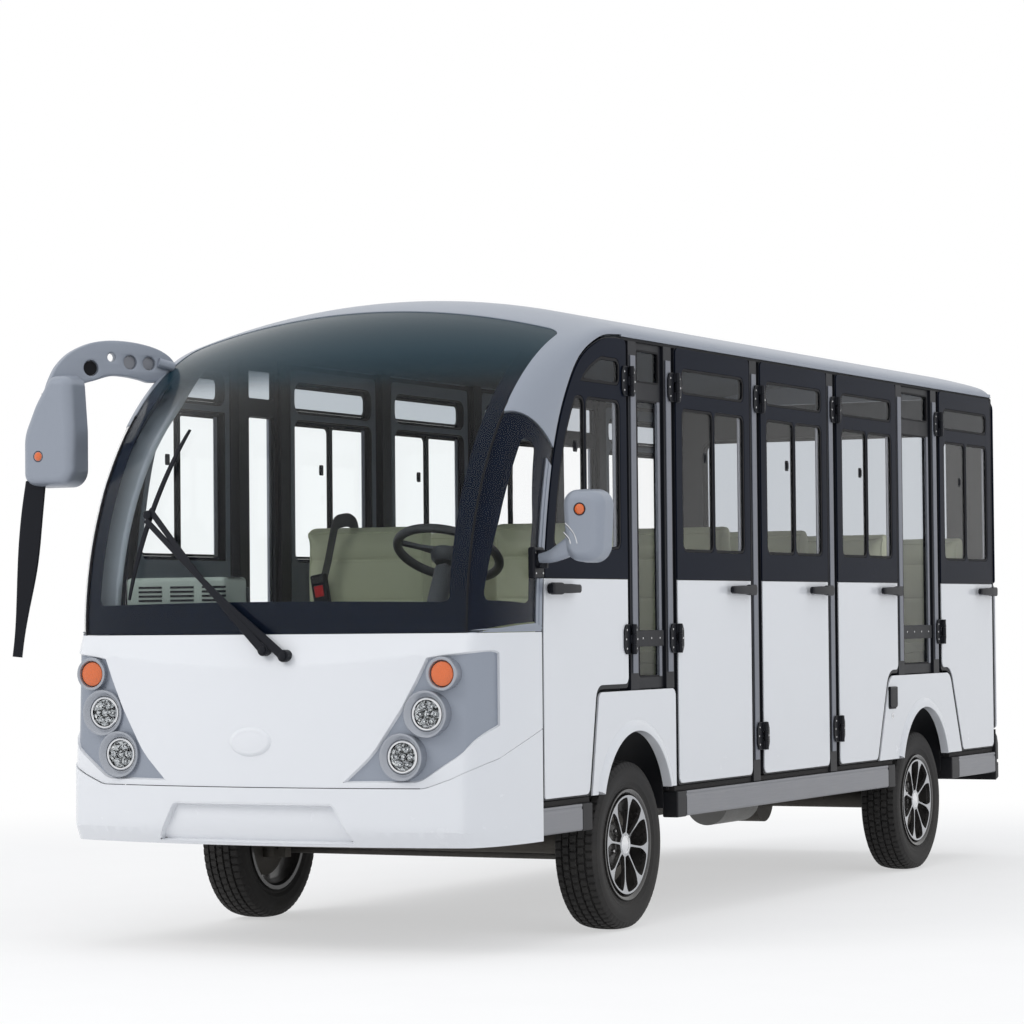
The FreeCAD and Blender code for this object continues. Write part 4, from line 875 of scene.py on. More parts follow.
U_EDGE = SEAM_X + CORNER_SPAN


# ---------------------------------------------------------------- windscreen, quarter glass, roof
def claw_angle(t):
    """Lower edge of the roof cap's claw, from the windscreen's seam to the door."""
    return CLAW_ANGLE - 0.048 * (1 - t) ** 2.2


SEAM_GAP = 0.0006             # between windscreen, quarter glass and roof cap, from each side


def bordered_pane(outline, clear, spacing):
    """Pane on the dome, and the black border behind it."""
    return (sheet_on(dome, outline, (), spacing, 0.005, front=0.003),
            sheet_on(dome, outline, [clear], spacing, 0.0016, front=0.0085))


def build_windscreen():
    side, top = SEAM_X - SEAM_GAP, CAP_ANGLE - 0.0004
    outline = divided(rounded([(-side, 0.0), (side, 0.0), (side, top), (-side, top)], [0.004, 0.004, 0.05, 0.05], 8),
                      0.03)
    clear_side, low, high = 0.611, math.asin(0.098 / DOME_RADIUS), math.radians(63.5)
    clear = divided(rounded([(-clear_side, low), (clear_side, low), (clear_side, high), (-clear_side, high)],
                            [0.022, 0.022, 0.09, 0.09], 8), 0.025)
    pane, frit = bordered_pane(outline, clear, 0.035)
    piece("windscreen_glass", [(pane, SCREEN)], stands_for=["windshield"])
    piece("windscreen_border", [(frit, FRIT)])
    for sign, name in SIDES:
        build_quarter(sign, name)


def build_quarter(sign, name):
    """Quarter glass beside the windscreen, its silver trim and the seam between the two."""
    def turned(outline):
        return outline if sign > 0 else flipped(outline)

    inner, steps = U_EDGE - 0.0005, 12
    low, high = [], []
    for t in [k / steps for k in range(steps + 1)]:
        u = SEAM_X + SEAM_GAP + t * (inner - SEAM_X)
        low.append((u, 0.047 * t ** 1.15))
        high.append((u, claw_angle(t) - 0.002))
    clear = rounded([(SEAM_X + 0.100, 0.100), (U_EDGE - 0.062, 0.116), (U_EDGE - 0.070, 0.450),
                     (U_EDGE - 0.135, 0.715), (SEAM_X + 0.178, 0.690), (SEAM_X + 0.150, 0.369)],
                    [0.025, 0.025, 0.3, 0.03, 0.03, 0.3], 6)
    pane, frit = bordered_pane(turned(divided(low + high[::-1], 0.03)), turned(divided(clear, 0.025)), 0.03)
    piece("quarter_glass_" + name, [(pane, WINDOW), (frit, FRIT)],
          stands_for=["quarter_glass"] if sign > 0 else ())

    wedge = [(SEAM_X + 0.004, 0.001)] + [(u, a - 0.006) for u, a in low[1:]] + [(inner, 0.001)]
    rib = [(SEAM_X + 0.02, 0.006), (inner, 0.013), (inner, 0.020), (SEAM_X + 0.10, 0.011)]
    parts = [(sheet_on(dome, turned(divided(wedge, 0.03)), (), 0.03, 0.010, front=0.0005), SILVER),
             (sheet_on(dome, turned(divided(rib, 0.03)), (), 0.03, 0.003, front=-0.0015), SILVER)]
    # thin double strip up the front door's edge, from the waist to the roof cap's claw
    for from_edge, front in ((0.0255, 0.0), (0.003, -0.0015)):
        near, far = [], []
        for k in range(25):
            angle = 0.03 + k / 24 * (CLAW_ANGLE - 0.10)
            depth = SEAM_RADIUS - edge_radius(angle)
            u = U_EDGE - from_edge / depth * CORNER_SPAN * 0.55
            near.append((u, angle))
            far.append((u - 0.0125 / depth * CORNER_SPAN, angle))
        parts.append((sheet_on(dome, turned(divided(near + far[::-1], 0.04)), (), 0.04, 0.006, front=front), SILVER))
    piece("quarter_trim_" + name, parts)
    bead = [dome(sign * (SEAM_X + 0.0002), a / 30 * CLAW_ANGLE, 0.0035) for a in range(31)]
    piece("seam_bead_" + name, [(tube(bead, circle(0, 0, 0.0035, 8)), RUBBER)])


def build_post_covers():
    """Pale covers of the two front posts, behind the windscreen's corners."""
    steps = 36
    for sign, name in SIDES:
        path = []
        for t in [k / steps for k in range(steps + 1)]:
            path.append(dome(sign * 0.636, 0.02 + 1.24 * t, 0.088 - 0.050 * smooth_step(t, 0.7, 1.0)))
        path = [path[0] - Vector((0, 0, down)) for down in (0.10, 0.05)] + path
        cover = tube(path, bar(0.040, 0.014, 0.010, 4), up=(0, 1, 0))
        piece("post_cover_" + name, [(cover, POST)])


TAIL_TURN = 0.115             # length of the roof's rounded tail
TAIL_ANGLE = math.radians(82)
ROOF_LENGTH = REAR_WALL_Y + 0.014 - DOME_Y


def main_roof(u, along, inset_by=0.0):
    """Roof behind the dome, with its rounded tail."""
    x, r = across(u, 0, EAVE - WAIST, inset_by)
    y, tail = DOME_Y + along, ROOF_LENGTH - TAIL_TURN
    if along > tail:
        t = min(1.0, (along - tail) / TAIL_TURN)
        angle = t * TAIL_ANGLE
        y = DOME_Y + tail + (TAIL_TURN - inset_by) * math.sin(angle) / math.sin(TAIL_ANGLE)
        fall = (TAIL_TURN * 0.85) * (1 - math.cos(angle)) * (0.35 + 0.65 * max(0.0, (r - EAVE + WAIST) / 0.15))
        r = max(EAVE - WAIST - inset_by * 0.3, r - fall)
        x *= 1 - 0.018 * t * t
    return Vector((x, y, WAIST + r))


def build_roof():
    """Silver front cap with its two claws, then the roof with its rounded tail."""
    top = math.pi / 2
    claw = [(SEAM_X + SEAM_GAP + t * (U_EDGE - SEAM_X - SEAM_GAP), claw_angle(t)) for t in [k / 12 for k in range(13)]]
    right = claw + [(U_EDGE, top)]
    mid = rounded([(SEAM_X + SEAM_GAP, CLAW_ANGLE + 0.2), (SEAM_X + SEAM_GAP, CAP_ANGLE + 0.0004),
                   (SEAM_X - 0.4, CAP_ANGLE + 0.0004)], [0, 0.05, 0], 8)[1:-1]
    outline = right + flipped(right) + [(-u, a) for u, a in mid] + [(u, a) for u, a in reversed(mid)]
    cap = sheet_on(dome, divided(outline, 0.03), (), 0.03, 0.012)
    piece("roof_cap", [(bevelled(cap, 0.0022, 50), SILVER)], stands_for=["roof_front_cap"])

    tail = ROOF_LENGTH - TAIL_TURN
    rows = [SEAM_GAP + tail * k / 24 for k in range(25)] + [tail + TAIL_TURN * k / 12 for k in range(1, 13)]
    us = [SEAM_X * k / 10 for k in range(10)] + [SEAM_X + CORNER_SPAN * k / 14 for k in range(15)]
    us = [-u for u in reversed(us[1:])] + us
    faces = ring_faces(len(us), len(rows), open_profile=True)

    def layers(front, thickness):
        outer, inner = [[main_roof(u, a, depth) for a in rows for u in us] for depth in (front, front + thickness)]
        return thick(outer, inner, faces)

    piece("roof_skin", [(bevelled(layers(0.0, 0.010), 0.0018, 60), SILVER)], stands_for=["roof"])
    piece("roof_lining", [(layers(0.018, 0.006), LINING)])
    lining = [claw[0], (U_EDGE, CLAW_ANGLE + 0.01), (U_EDGE, top), (-U_EDGE, top), (-U_EDGE, CLAW_ANGLE + 0.01),
              (-SEAM_X - 0.001, CLAW_ANGLE), (-SEAM_X - 0.001, CAP_ANGLE), (SEAM_X + 0.001, CAP_ANGLE)]
    piece("roof_cap_lining", [(sheet_on(dome, divided(lining, 0.04), (), 0.05, 0.005, front=0.018), LINING)])
    # gutter strips over the doors, with the dark seal under them
    span = (DOME_Y - 0.05, REAR_WALL_Y - 0.03)
    both("roof_gutter", [(side_block((-0.0075, -0.0005), span, (EAVE - 0.004, EAVE + 0.010)), SILVER),
                         (side_block((-0.022, -0.004), span, (EAVE - 0.014, EAVE - 0.0045)), RUBBER)])


# ---------------------------------------------------------------- nose
LAMP_PANEL = [(0.300, 0.515), (0.545, 0.517), (0.663, 0.596), (0.729, 0.679), (0.728, 0.913), (0.558, 0.890),
              (0.526, 0.822), (0.480, 0.735), (0.395, 0.603)]
LAMP_PANEL_ROUND = [0.004, 0.07, 0.10, 0.02, 0.012, 0.010, 0.3, 0.3, 0.3]
LAMPS = {"orange": (0.611, 0.840, 0.040), "upper": (0.562, 0.721, 0.058), "lower": (0.491, 0.595, 0.058)}
BUMPER_TOP = [(0.0, 0.501), (0.560, 0.501), (0.640, 0.530), (0.700, 0.560), (0.728, 0.585)]


def bumper_top():
    """(u, z) along the bumper's upper edge, from the centre line to the left side."""
    points = [(u_of(x), z) for x, z in divided(rounded([(-0.2, 0.501)] + BUMPER_TOP[1:] + [(0.7285, 0.7)],
                                                       [0, 0.10, 0.2, 0.2, 0, 0], 6)[1:-1], 0.02, False)]
    return points + [(U_EDGE - 0.10, 0.625), (U_EDGE, 0.665)]


def border_ring(surface, outer, width, depth):
    """Sloping rim from an outline on the surface down to the same outline inset and sunk."""
    inner = inset(outer, width)
    levels = [(outer, 0.0), (inset(outer, width * 0.35), 0.0), (inner, depth), (inner, depth + 0.004), (outer, 0.010)]
    return skin([[surface(u, z, sunk) for u, z in line] for line, sunk in levels], True), inner


def headlamp(x, y, z, radius):
    """Chrome rim, reflector bowl and seven small cups with their bulbs; then the cover lens."""
    def turned(profile, segments, at=(x, z), closed=False):
        return spun(profile, (at[0], y, at[1]), (0, 1, 0), segments, closed)

    rim = [(0.005, radius - 0.001), (0.003, radius - 0.004), (0.005, radius - 0.008), (0.014, radius - 0.009),
           (0.014, radius - 0.001)]
    bowl = [(0.034, 0.0), (0.031, radius * 0.35), (0.024, radius * 0.65), (0.013, radius - 0.010),
            (0.036, radius - 0.009), (0.050, 0.0)]
    parts = [(turned(rim, 48, closed=True), CHROME), (turned(bowl, 48), REFLECTOR)]
    r = radius * 0.235
    cup = [(0.030, 0.0), (0.024, r * 0.5), (0.012, r * 0.96), (0.010, r), (0.012, r * 1.04), (0.034, r)]
    bulb = [(0.012, 0.0), (0.014, r * 0.22), (0.020, r * 0.28), (0.032, r * 0.28)]
    for k in range(7):                          # six round one in the middle
        turn, reach = math.tau * k / 6, 0 if k == 6 else radius * 0.50
        at = (x + reach * math.cos(turn), z + reach * math.sin(turn))
        parts += [(turned(cup, 24, at), REFLECTOR), (turned(bulb, 16, at), CHROME)]
    cover = [(0.0045, 0.0), (0.005, radius * 0.5), (0.0075, radius - 0.010), (0.0095, radius - 0.010),
             (0.0075, radius * 0.5), (0.007, 0.0)]
    return parts, (turned(cover, 40, closed=True), LENS)


def lamp_set():
    """The left side's silver panel with its three lamps, and its mirror image; returns the panel's outline."""
    outline = front_outline(LAMP_PANEL, LAMP_PANEL_ROUND)
    border, inner = border_ring(fascia, outline, 0.008, 0.010)
    holes, lamps, bezels, lenses = [], [], [], []
    for kind, (x, z, radius) in LAMPS.items():
        holes.append([(u_of(px), pz) for px, pz in circle(x, z, radius * 0.98, 40)])
        amber = kind == "orange"
        front_y = fascia(u_of(x), z, 0.012).y - (0.030 if amber else 0.026)
        # barrel with a rolled front edge
        bezel, depth = radius + (0.011 if amber else 0.013), 0.060
        cone = ([(0.007, radius - 0.001), (depth, radius - 0.003)] if amber else
                [(0.014, radius - 0.006), (depth, radius - 0.009)])
        barrel = [(depth, bezel - 0.002), (0.004, bezel), (0.001, bezel - 0.001), (0.0, bezel - 0.004),
                  (0.002, bezel - 0.009)] + cone
        bezels.append((spun(barrel, (x, front_y, z), (0, 1, 0), 48, True), BEZEL))
        if amber:
            lens = [(0.010, 0.0), (0.0085, radius * 0.35), (0.009, radius * 0.6), (0.012, radius * 0.9),
                    (0.016, radius - 0.002), (0.030, radius - 0.002), (0.030, 0)]
            lamps.append((spun(lens, (x, front_y - 0.004, z), (0, 1, 0), 40), AMBER))
        else:
            parts, lens = headlamp(x, front_y + 0.009, z, radius - 0.007)
            lamps += parts
            lenses.append(lens)
    panel = (sheet_on(fascia, inner, holes, 0.022, 0.004, front=0.010), SILVER)
    for sign, name in SIDES:
        for prefix, parts, slot, nodes in (("lamp_border_", [(border, WHITE)], "white_paint", ()),
                                           ("lamp_panel_", [panel] + bezels, "silver_paint", ["lamp_panels"]),
                                           ("lamps_", lamps, "lamp", ["front_lamps"]),
                                           ("lamp_lenses_", lenses, "lamp", ())):
            piece(prefix + name, parts if sign > 0 else mirrored(parts),
                  stands_for=nodes if sign > 0 else ())
    return outline


def build_nose():
    panel = lamp_set()
    line = bumper_top()
    edge_us = [U_EDGE * (2 * k / 40 - 1) for k in range(41)]
    low = [(u, z + 0.0022) for u, z in line]
    creases = [[(u_of(x), crease_height(u_of(x)) + offset) for x in [-0.54 + 0.045 * k for k in range(25)]]
               for offset in (-0.008, 0.0, 0.008)]
    shape = divided([(-u, z) for u, z in reversed(low)] + low + [(u, WAIST - 0.0012) for u in edge_us[::-1]], 0.025)
    shell = sheet_on(fascia, shape, [panel, flipped(panel)], 0.022, 0.006, creases=creases)
    piece("fascia", [(shell, WHITE)], stands_for=["front_fascia"], smooth=30)

    # bumper with its shallow plate recess
    lower = [(u, 0.3265) for u in edge_us]
    upper = line[::-1] + [(-u, z) for u, z in line[1:]]
    recess = [(-0.344, 0.334), (0.344, 0.334), (0.277, 0.455), (-0.277, 0.455)]
    recess = divided(rounded(recess, [0.006, 0.006, 0.022, 0.022], 5), 0.02)
    creases = [[(u * 0.05, 0.374) for u in range(8, 21)], [(-u * 0.05, 0.374) for u in range(20, 7, -1)]]
    shell = sheet_on(bumper, divided(lower + upper, 0.025), [recess], 0.022, 0.008, creases=creases)
    ring, floor_line = border_ring(bumper, recess, 0.009, 0.020)
    floor = sheet_on(bumper, floor_line, (), 0.04, 0.004, front=0.020)
    piece("front_bumper_skin", [(bevelled(shell, 0.0022, 60), WHITE), (ring, WHITE), (floor, WHITE)],
          stands_for=["front_bumper"], smooth=30)
    # white backing behind the gap between bumper and fascia
    strip = divided(line + [(u, z + 0.0030) for u, z in reversed(line)], 0.03)
    piece("bumper_gap", [(sheet_on(fascia, part, (), 0.05, 0.004, front=0.004), WHITE)
                         for part in (strip, flipped(strip))])

    # bare oval boss
    rings, sides = 10, 48
    verts = []
    for t in [i / rings for i in range(rings + 1)]:
        height = 0.0095 * math.sqrt(max(0.0, 1 - t ** 2.6)) + 0.0022 * math.exp(-((t - 0.80) / 0.07) ** 2)
        for a in [math.tau * k / sides for k in range(sides)]:
            verts.append(fascia(0.074 * t * math.cos(a), 0.638 + 0.045 * t * math.sin(a), 0.001 - height))
    boss = outward(new_mesh(verts, ring_faces(sides, rings + 1)), 1e-5, True)
    piece("front_boss", [(boss, WHITE)], smooth=50)


# ---------------------------------------------------------------- doors
HINGE_HEIGHT, LEAF_WIDTH, LEAF_THICKNESS = 0.096, 0.044, 0.005
HINGE_Z = {1: (1.756, 0.930), 2: (1.756, 0.930), 3: (1.756, 0.583), 4: (1.756, 0.583), 5: (1.756, 0.930)}
ARCH_TOP = 0.766
ARCH = {"front": (FRONT_AXLE_Y, 0.026, (-0.334, -0.276), (0.320, 0.320)),
        "rear": (REAR_AXLE_Y, 0.060, (-0.505, -0.383), (0.450, 0.315))}
ARCH_RADIUS, ARCH_RISE = 0.269, 0.095


def arch_outline(which, grow):
    """Outline of a wheel-arch panel grown by a gap: (foot front, top front, top rear, foot rear)."""
    axle, radius, front, rear = ARCH[which]
    result = []
    for (foot, top), side in ((front, -1), (rear, 1)):
        lean = (top - foot) / (ARCH_TOP - DOOR_BOTTOM)
        move = side * grow * math.hypot(1, lean)
        pair = [(axle + foot + move - lean * grow, DOOR_BOTTOM - grow),
                (axle + top + move + lean * grow, ARCH_TOP + grow)]
        result += pair if side < 0 else pair[::-1]
    return rounded(result, [0, radius + grow, radius + grow, 0], 8)


def curve_inset(distance):
    """Front door's curved edge moved into the door, foot to top."""
    pts = smooth_line([(y, z, 0) for y, z in [(-0.001, -0.05)] + FRONT_DOOR_CURVE + [(0.66, 0.9345)]], 6)
    result = []
    for before, here, after in zip(pts, pts[1:], pts[2:]):
        along = (after - before).normalized()
        result.append((DOOR_LINE + here.x + along.y * distance, WAIST + here.y - along.x * distance))
    return result


WIDTHS = {n: FRONT_DOOR_WIDTH if n == 1 else DOOR_WIDTH for n in range(1, 6)}


def door_outline(number, margin=0.0, low=DOOR_BOTTOM, high=DOOR_TOP):
    """Closed outline of a door between two heights, a margin in from its edges."""
    start, end = DOOR_START[number] + margin, DOOR_START[number] + WIDTHS[number] - margin
    low, high = max(low, DOOR_BOTTOM + margin), min(high, DOOR_TOP - margin)
    if number != 1:
        return [(start, low), (end, low), (end, high), (start, high)]
    curve = [p for p in curve_inset(margin) if low + 0.004 < p[1] < high - 0.0005 and p[0] < end - 0.03]
    if low < WAIST:
        curve = [(start, z) for z in (low + 0.019, WAIST - 0.02) if z < high] + [p for p in curve if p[1] > WAIST]
    reach = 0.02 if high > DOOR_TOP - 0.02 - margin else 0.0
    return [(curve[0][0], low), (end, low), (end, high), (curve[-1][0] + reach, high)] + curve[::-1]


def without_arch(outline, which, gap):
    """Door outline less the wheel-arch panel that reaches into its lower corner."""
    arch = arch_outline(which, gap)
    ys = [p[0] for p in outline]
    start, end, bottom = min(ys), max(ys), min(p[1] for p in outline)
    rear_corner = arch[-1][0] > end                 # the arch lies under the door's rear corner
    foot, knee = arch[:2] if rear_corner else arch[:-3:-1]
    lean = (knee[0] - foot[0]) / (knee[1] - foot[1])
    foot = (foot[0] + (bottom - foot[1]) * lean, bottom)
    half = len(arch) // 2
    if rear_corner:
        path = [p for p in arch[:half + 1] if p[0] < end and p[1] > bottom]
        path = [foot] + path + [(end, path[-1][1])]
        rest = [p for p in outline if not (p[0] > foot[0] - WELD and p[1] < path[-1][1])]
    else:
        path = [p for p in arch[half:] if p[0] > start and p[1] > bottom]
        path = [(start, path[0][1])] + path + [foot]
        rest = [p for p in outline if not (p[0] < foot[0] + WELD and p[1] < path[0][1])]
    first = next(i for i, p in enumerate(rest) if abs(p[1] - bottom) < WELD)
    rest = rest[first:] + rest[:first]
    return rest[:1] + path + rest[1:] if rear_corner else path + rest


DOOR_ARCH = {1: "front", 4: "rear", 5: "rear"}


def door_windows(number, margin=0.0):
    """Outlines of a door's two sliding panes and its transom, grown by a margin."""
    start, end = DOOR_START[number] + WINDOW_MARGIN, DOOR_START[number] + WIDTHS[number] - WINDOW_MARGIN
    middle, corner = (start + end) / 2, 0.022 + margin
    edge = curve_inset(WINDOW_MARGIN - margin)

    def edge_y(height):
        for a, b in zip(edge, edge[1:]):
            if a[1] <= height <= b[1]:
                return a[0] + (b[0] - a[0]) * (height - a[1]) / (b[1] - a[1])
        return edge[-1][0]

    result = []
    for y, z in (((start, middle - SLIDER_BAR / 2), WINDOW_Z), ((middle + SLIDER_BAR / 2, end), WINDOW_Z),
                 ((start, end), TRANSOM_Z)):
        y, z = (y[0] - margin, y[1] + margin), (z[0] - margin, z[1] + margin)
        if number != 1 or not any(z[0] < p[1] < z[1] and p[0] > y[0] for p in edge):
            result.append(rectangle(y, z, corner, 6))
            continue
        heights = [z[1] + (z[0] - z[1]) * k / 10 for k in range(11)]
        side = [(max(y[0], edge_y(height)), height) for height in heights]
        result.append(rounded([(y[1], z[0]), (y[1], z[1])] + side, [corner] * 3 + [0.2] * 9 + [corner], 5))
    return result


def panes_opening(number, margin):
    """One opening round both sliding panes, for the frame behind them."""
    z = (WINDOW_Z[0] - margin, WINDOW_Z[1] + margin)
    if number != 1:
        start, end = DOOR_START[number] + WINDOW_MARGIN, DOOR_START[number] + WIDTHS[number] - WINDOW_MARGIN
        return rectangle((start - margin, end + margin), z, 0.03, 6)
    first, second, _ = door_windows(number, margin)
    slope_end = min(p[0] for p in first) + 0.20
    front = [p for p in first if p[0] < DOOR_START[1] + 0.30 and p[0] <= slope_end]
    end = max(p[0] for p in second)
    return [(end, z[0]), (end, z[1])] + sorted(front, key=lambda p: -p[1])


def screw(y, z, x):
    """Bright pan-head screw on the left side."""
    head = [(0.0, 0.0035), (0.0012, 0.0034), (0.0019, 0.0022), (0.0021, 0.0008), (0.0013, 0.0006), (0.0012, 0.0)]
    return spun(head, (x - 0.0002, y, z), (1, 0, 0), 14)


def hinge_side(axis, z, side, barrels):
    """Plate, neck and barrels of one hinge half; side is +1 towards larger Y."""
    near, far = axis + side * HINGE_GAP / 2, axis + side * (HINGE_GAP / 2 + LEAF_WIDTH)
    half = HINGE_HEIGHT / 2
    outline = [(near, z - half), (far - side * 0.012, z - half), (far, z - half * 0.55), (far, z + half * 0.55),
               (far - side * 0.012, z + half), (near, z + half)][::side]
    leaf = rounded(outline, [0.002, 0.014, 0.016, 0.016, 0.014, 0.002], 5)
    parts = [(on_side(leaf, (), 0.0002, LEAF_THICKNESS, 0.0014), PLASTIC)]
    inner = axis + side * (HINGE_GAP / 2 + LEAF_WIDTH * 0.62)
    for dy, dz in ((0, 0.62), (0.006 * side, 0.0), (0, -0.62)):
        parts.append((screw(inner + dy, z + dz * half, HALF + LEAF_THICKNESS), SCREW))
    for low, high in barrels:
        parts.append((rod((HINGE_X, axis, z + low), (HINGE_X, axis, z + high), 0.0089, 0.0012, 20), PLASTIC))
        y = sorted((axis + side * 0.004, axis + side * (HINGE_GAP / 2 + 0.004)))
        parts.append((side_block((0.001, 0.011), y, (z + low + 0.001, z + high - 0.001), 0.0015), PLASTIC))
    return parts


def lever_handle(edge, inward):
    """Black lever handle: broad grip, neck and a taller block over its post."""
    z, steps = BELT - 0.032, 24
    start, length = edge + inward * 0.012, 0.214
    grip = []
    for t in [k / steps for k in range(steps + 1)]:
        bow = 0.003 * math.sin(math.pi * t) - 0.010 * max(0.0, t - 0.72) ** 1.5
        grip.append(Vector((HALF + 0.0215 + bow, start + inward * length * (0.015 + 0.97 * t), z)))

    def swell(t):
        ends = min(1.0, 0.75 + 6.0 * min(t, 1 - t))
        block_end = 1.42 - 0.30 * smooth_step(t, 0.32, 0.37)
        return ends, block_end * ends * (1 - 0.12 * smooth_step(t, 0.55, 0.95))

    parts = [(tube(grip, bar(0.0085, 0.0130, 0.0055, 4), scale=swell), PLASTIC)]
    key = start + inward * 0.034
    for y, radius in ((key, 0.0165), (start + inward * 0.150, 0.0125)):
        parts.append((side_rod((0.0002, 0.0070), y, z, radius, 0.002, 28), PLASTIC))
        parts.append((side_rod((0.0040, 0.0200), y, z, radius - 0.0045), PLASTIC))
    parts.append((side_rod((0.0285, 0.0308), key, z, 0.0068, 0.0008, 20), CHROME))
    return parts


SKIN_DEPTH = (-0.0055, -0.0002)


def build_door(number):
    start, end = DOOR_START[number], DOOR_START[number] + WIDTHS[number]
    arch = DOOR_ARCH.get(number)

    def cut(outline, gap):
        return without_arch(outline, arch, gap) if arch else outline

    # frame, white skin below the belt, black glass border with the window seals above it, inner trim
    frame = cut(door_outline(number, 0.0005), PANEL_GAP + 0.0005)
    openings = [panes_opening(number, 0.016), door_windows(number, 0.016)[2]]
    parts = [(on_side(rounded(frame, corner_radii(frame, 0.016), 4), openings, 0.003 - DOOR_THICKNESS, -0.0045,
                      0.001), PLASTIC)]
    white = cut(door_outline(number, 0.006, high=BELT - 0.001), PANEL_GAP + 0.014)
    white = rounded(white, corner_radii(white, 0.024, lambda p: p[1] < BELT - 0.01), 6)
    upper = door_outline(number, 0.004, low=BELT + 0.001)
    upper = rounded(upper, corner_radii(upper, 0.020, lambda p: p[1] > BELT + 0.03), 5)
    rims = door_windows(number, 0.007)
    parts.append((on_side(upper, rims, *SKIN_DEPTH, 0.0012), FRIT))
    for rim, window in zip(rims, door_windows(number)):
        parts.append((on_side(shrunk(rim, 0.0006), [shrunk(window, 0.002)], -0.0100, -0.0012, 0.0010), RUBBER))
    inner = cut(door_outline(number, 0.014), PANEL_GAP + 0.014)
    parts.append((on_side(rounded(inner, corner_radii(inner, 0.02), 4), [grow(w, 0.004) for w in openings],
                          0.0002 - DOOR_THICKNESS, 0.0035 - DOOR_THICKNESS, 0.001), TRIM))
    # slider bar, aluminium edge of the rear pane, and the catch
    middle = (start + end) / 2
    for x, y, half_width, z, bevel, finish in (
            ((-0.0165, -0.0045), middle, 0.0095, (WINDOW_Z[0] - 0.006, WINDOW_Z[1] + 0.006), 0.0015, PLASTIC),
            ((-0.0140, -0.0100), end - 0.080, 0.010, (WINDOW_Z[0] - 0.004, WINDOW_Z[1] + 0.004), 0.0008,
             BARE_ALUMINIUM),
            ((-0.0128, -0.0040), middle - 0.060, 0.011, (1.515, 1.552), 0.0030, PLASTIC),
            ((-0.0040, -0.0012), middle - 0.060, 0.006, (1.522, 1.545), 0.0012, PLASTIC)):
        parts.append((side_block(x, (y - half_width, y + half_width), z, bevel), finish))
    axis, side, edge = (end + HINGE_GAP / 2, -1, start) if number == 1 else (start - HINGE_GAP / 2, 1, end)
    for z in HINGE_Z[number]:
        parts += hinge_side(axis, z, side, [(-0.0154, 0.0154)])
    parts += lever_handle(edge, -side)
    parts.append((on_side(white, (), *SKIN_DEPTH, 0.0016), WHITE))
    parts += [(on_side(window, (), -0.0095, -0.0052, 0.0004), finish)
              for window, finish in zip(door_windows(number, 0.001), (WINDOW, WINDOW, SMOKED))]
    for sign, name in SIDES:
        node = "door_%s_%d" % (name, number)
        piece(node + "_leaf", parts if sign > 0 else mirrored(parts), body=node,
              stands_for=[node], smooth=35)


def corner_radii(outline, radius, where=lambda p: True):
    """A radius for each true corner of an outline, none along its curves."""
    result = []
    for i, here in enumerate(outline):
        a, b = Vector(outline[i - 1]) - Vector(here), Vector(outline[(i + 1) % len(outline)]) - Vector(here)
        sharp = a.angle(b) < math.radians(130)
        result.append(radius if sharp and where(here) else 0.0)
    return result


def grow(outline, distance):
    """An anticlockwise or clockwise outline moved outwards."""
    area = sum(a[0] * b[1] - b[0] * a[1] for a, b in zip(outline, outline[1:] + outline[:1]))
    return inset(outline, -distance if area > 0 else distance)


def shrunk(outline, distance):
    return grow(outline, -distance)


# ---------------------------------------------------------------- pillars, fixed panes, sides
PILLARS = [DOOR_START[1] + FRONT_DOOR_WIDTH + HINGE_GAP]
PILLARS += [DOOR_START[n] - HINGE_GAP - PILLAR_WIDTH for n in (2, 3, 4)]
PILLARS += [DOOR_START[4] + DOOR_WIDTH + LATCH_GAP, DOOR_START[5] - HINGE_GAP - PILLAR_WIDTH]
FIXED_PANES = [(PILLARS[0] + PILLAR_WIDTH, PILLARS[1]), (PILLARS[4] + PILLAR_WIDTH, PILLARS[5])]


def prism(profile, y):
    """Bar along Y of a closed (x, z) profile."""
    return skin([[(x, at, z) for x, z in profile] for at in y])


def ribbed_strip(y, z, x):
    """Silver pillar cover with two shallow grooves along it."""
    width = y[1] - y[0]
    profile = [(0, 0), (width, 0), (width, 0.0022), (width - 0.0015, 0.004), (width * 0.68, 0.004),
               (width * 0.655, 0.0028), (width * 0.63, 0.004), (width * 0.37, 0.004), (width * 0.345, 0.0028),
               (width * 0.32, 0.004), (0.0015, 0.004), (0, 0.0022)]
    return skin([[(x + proud, y[0] + along, height) for along, proud in profile] for height in z])


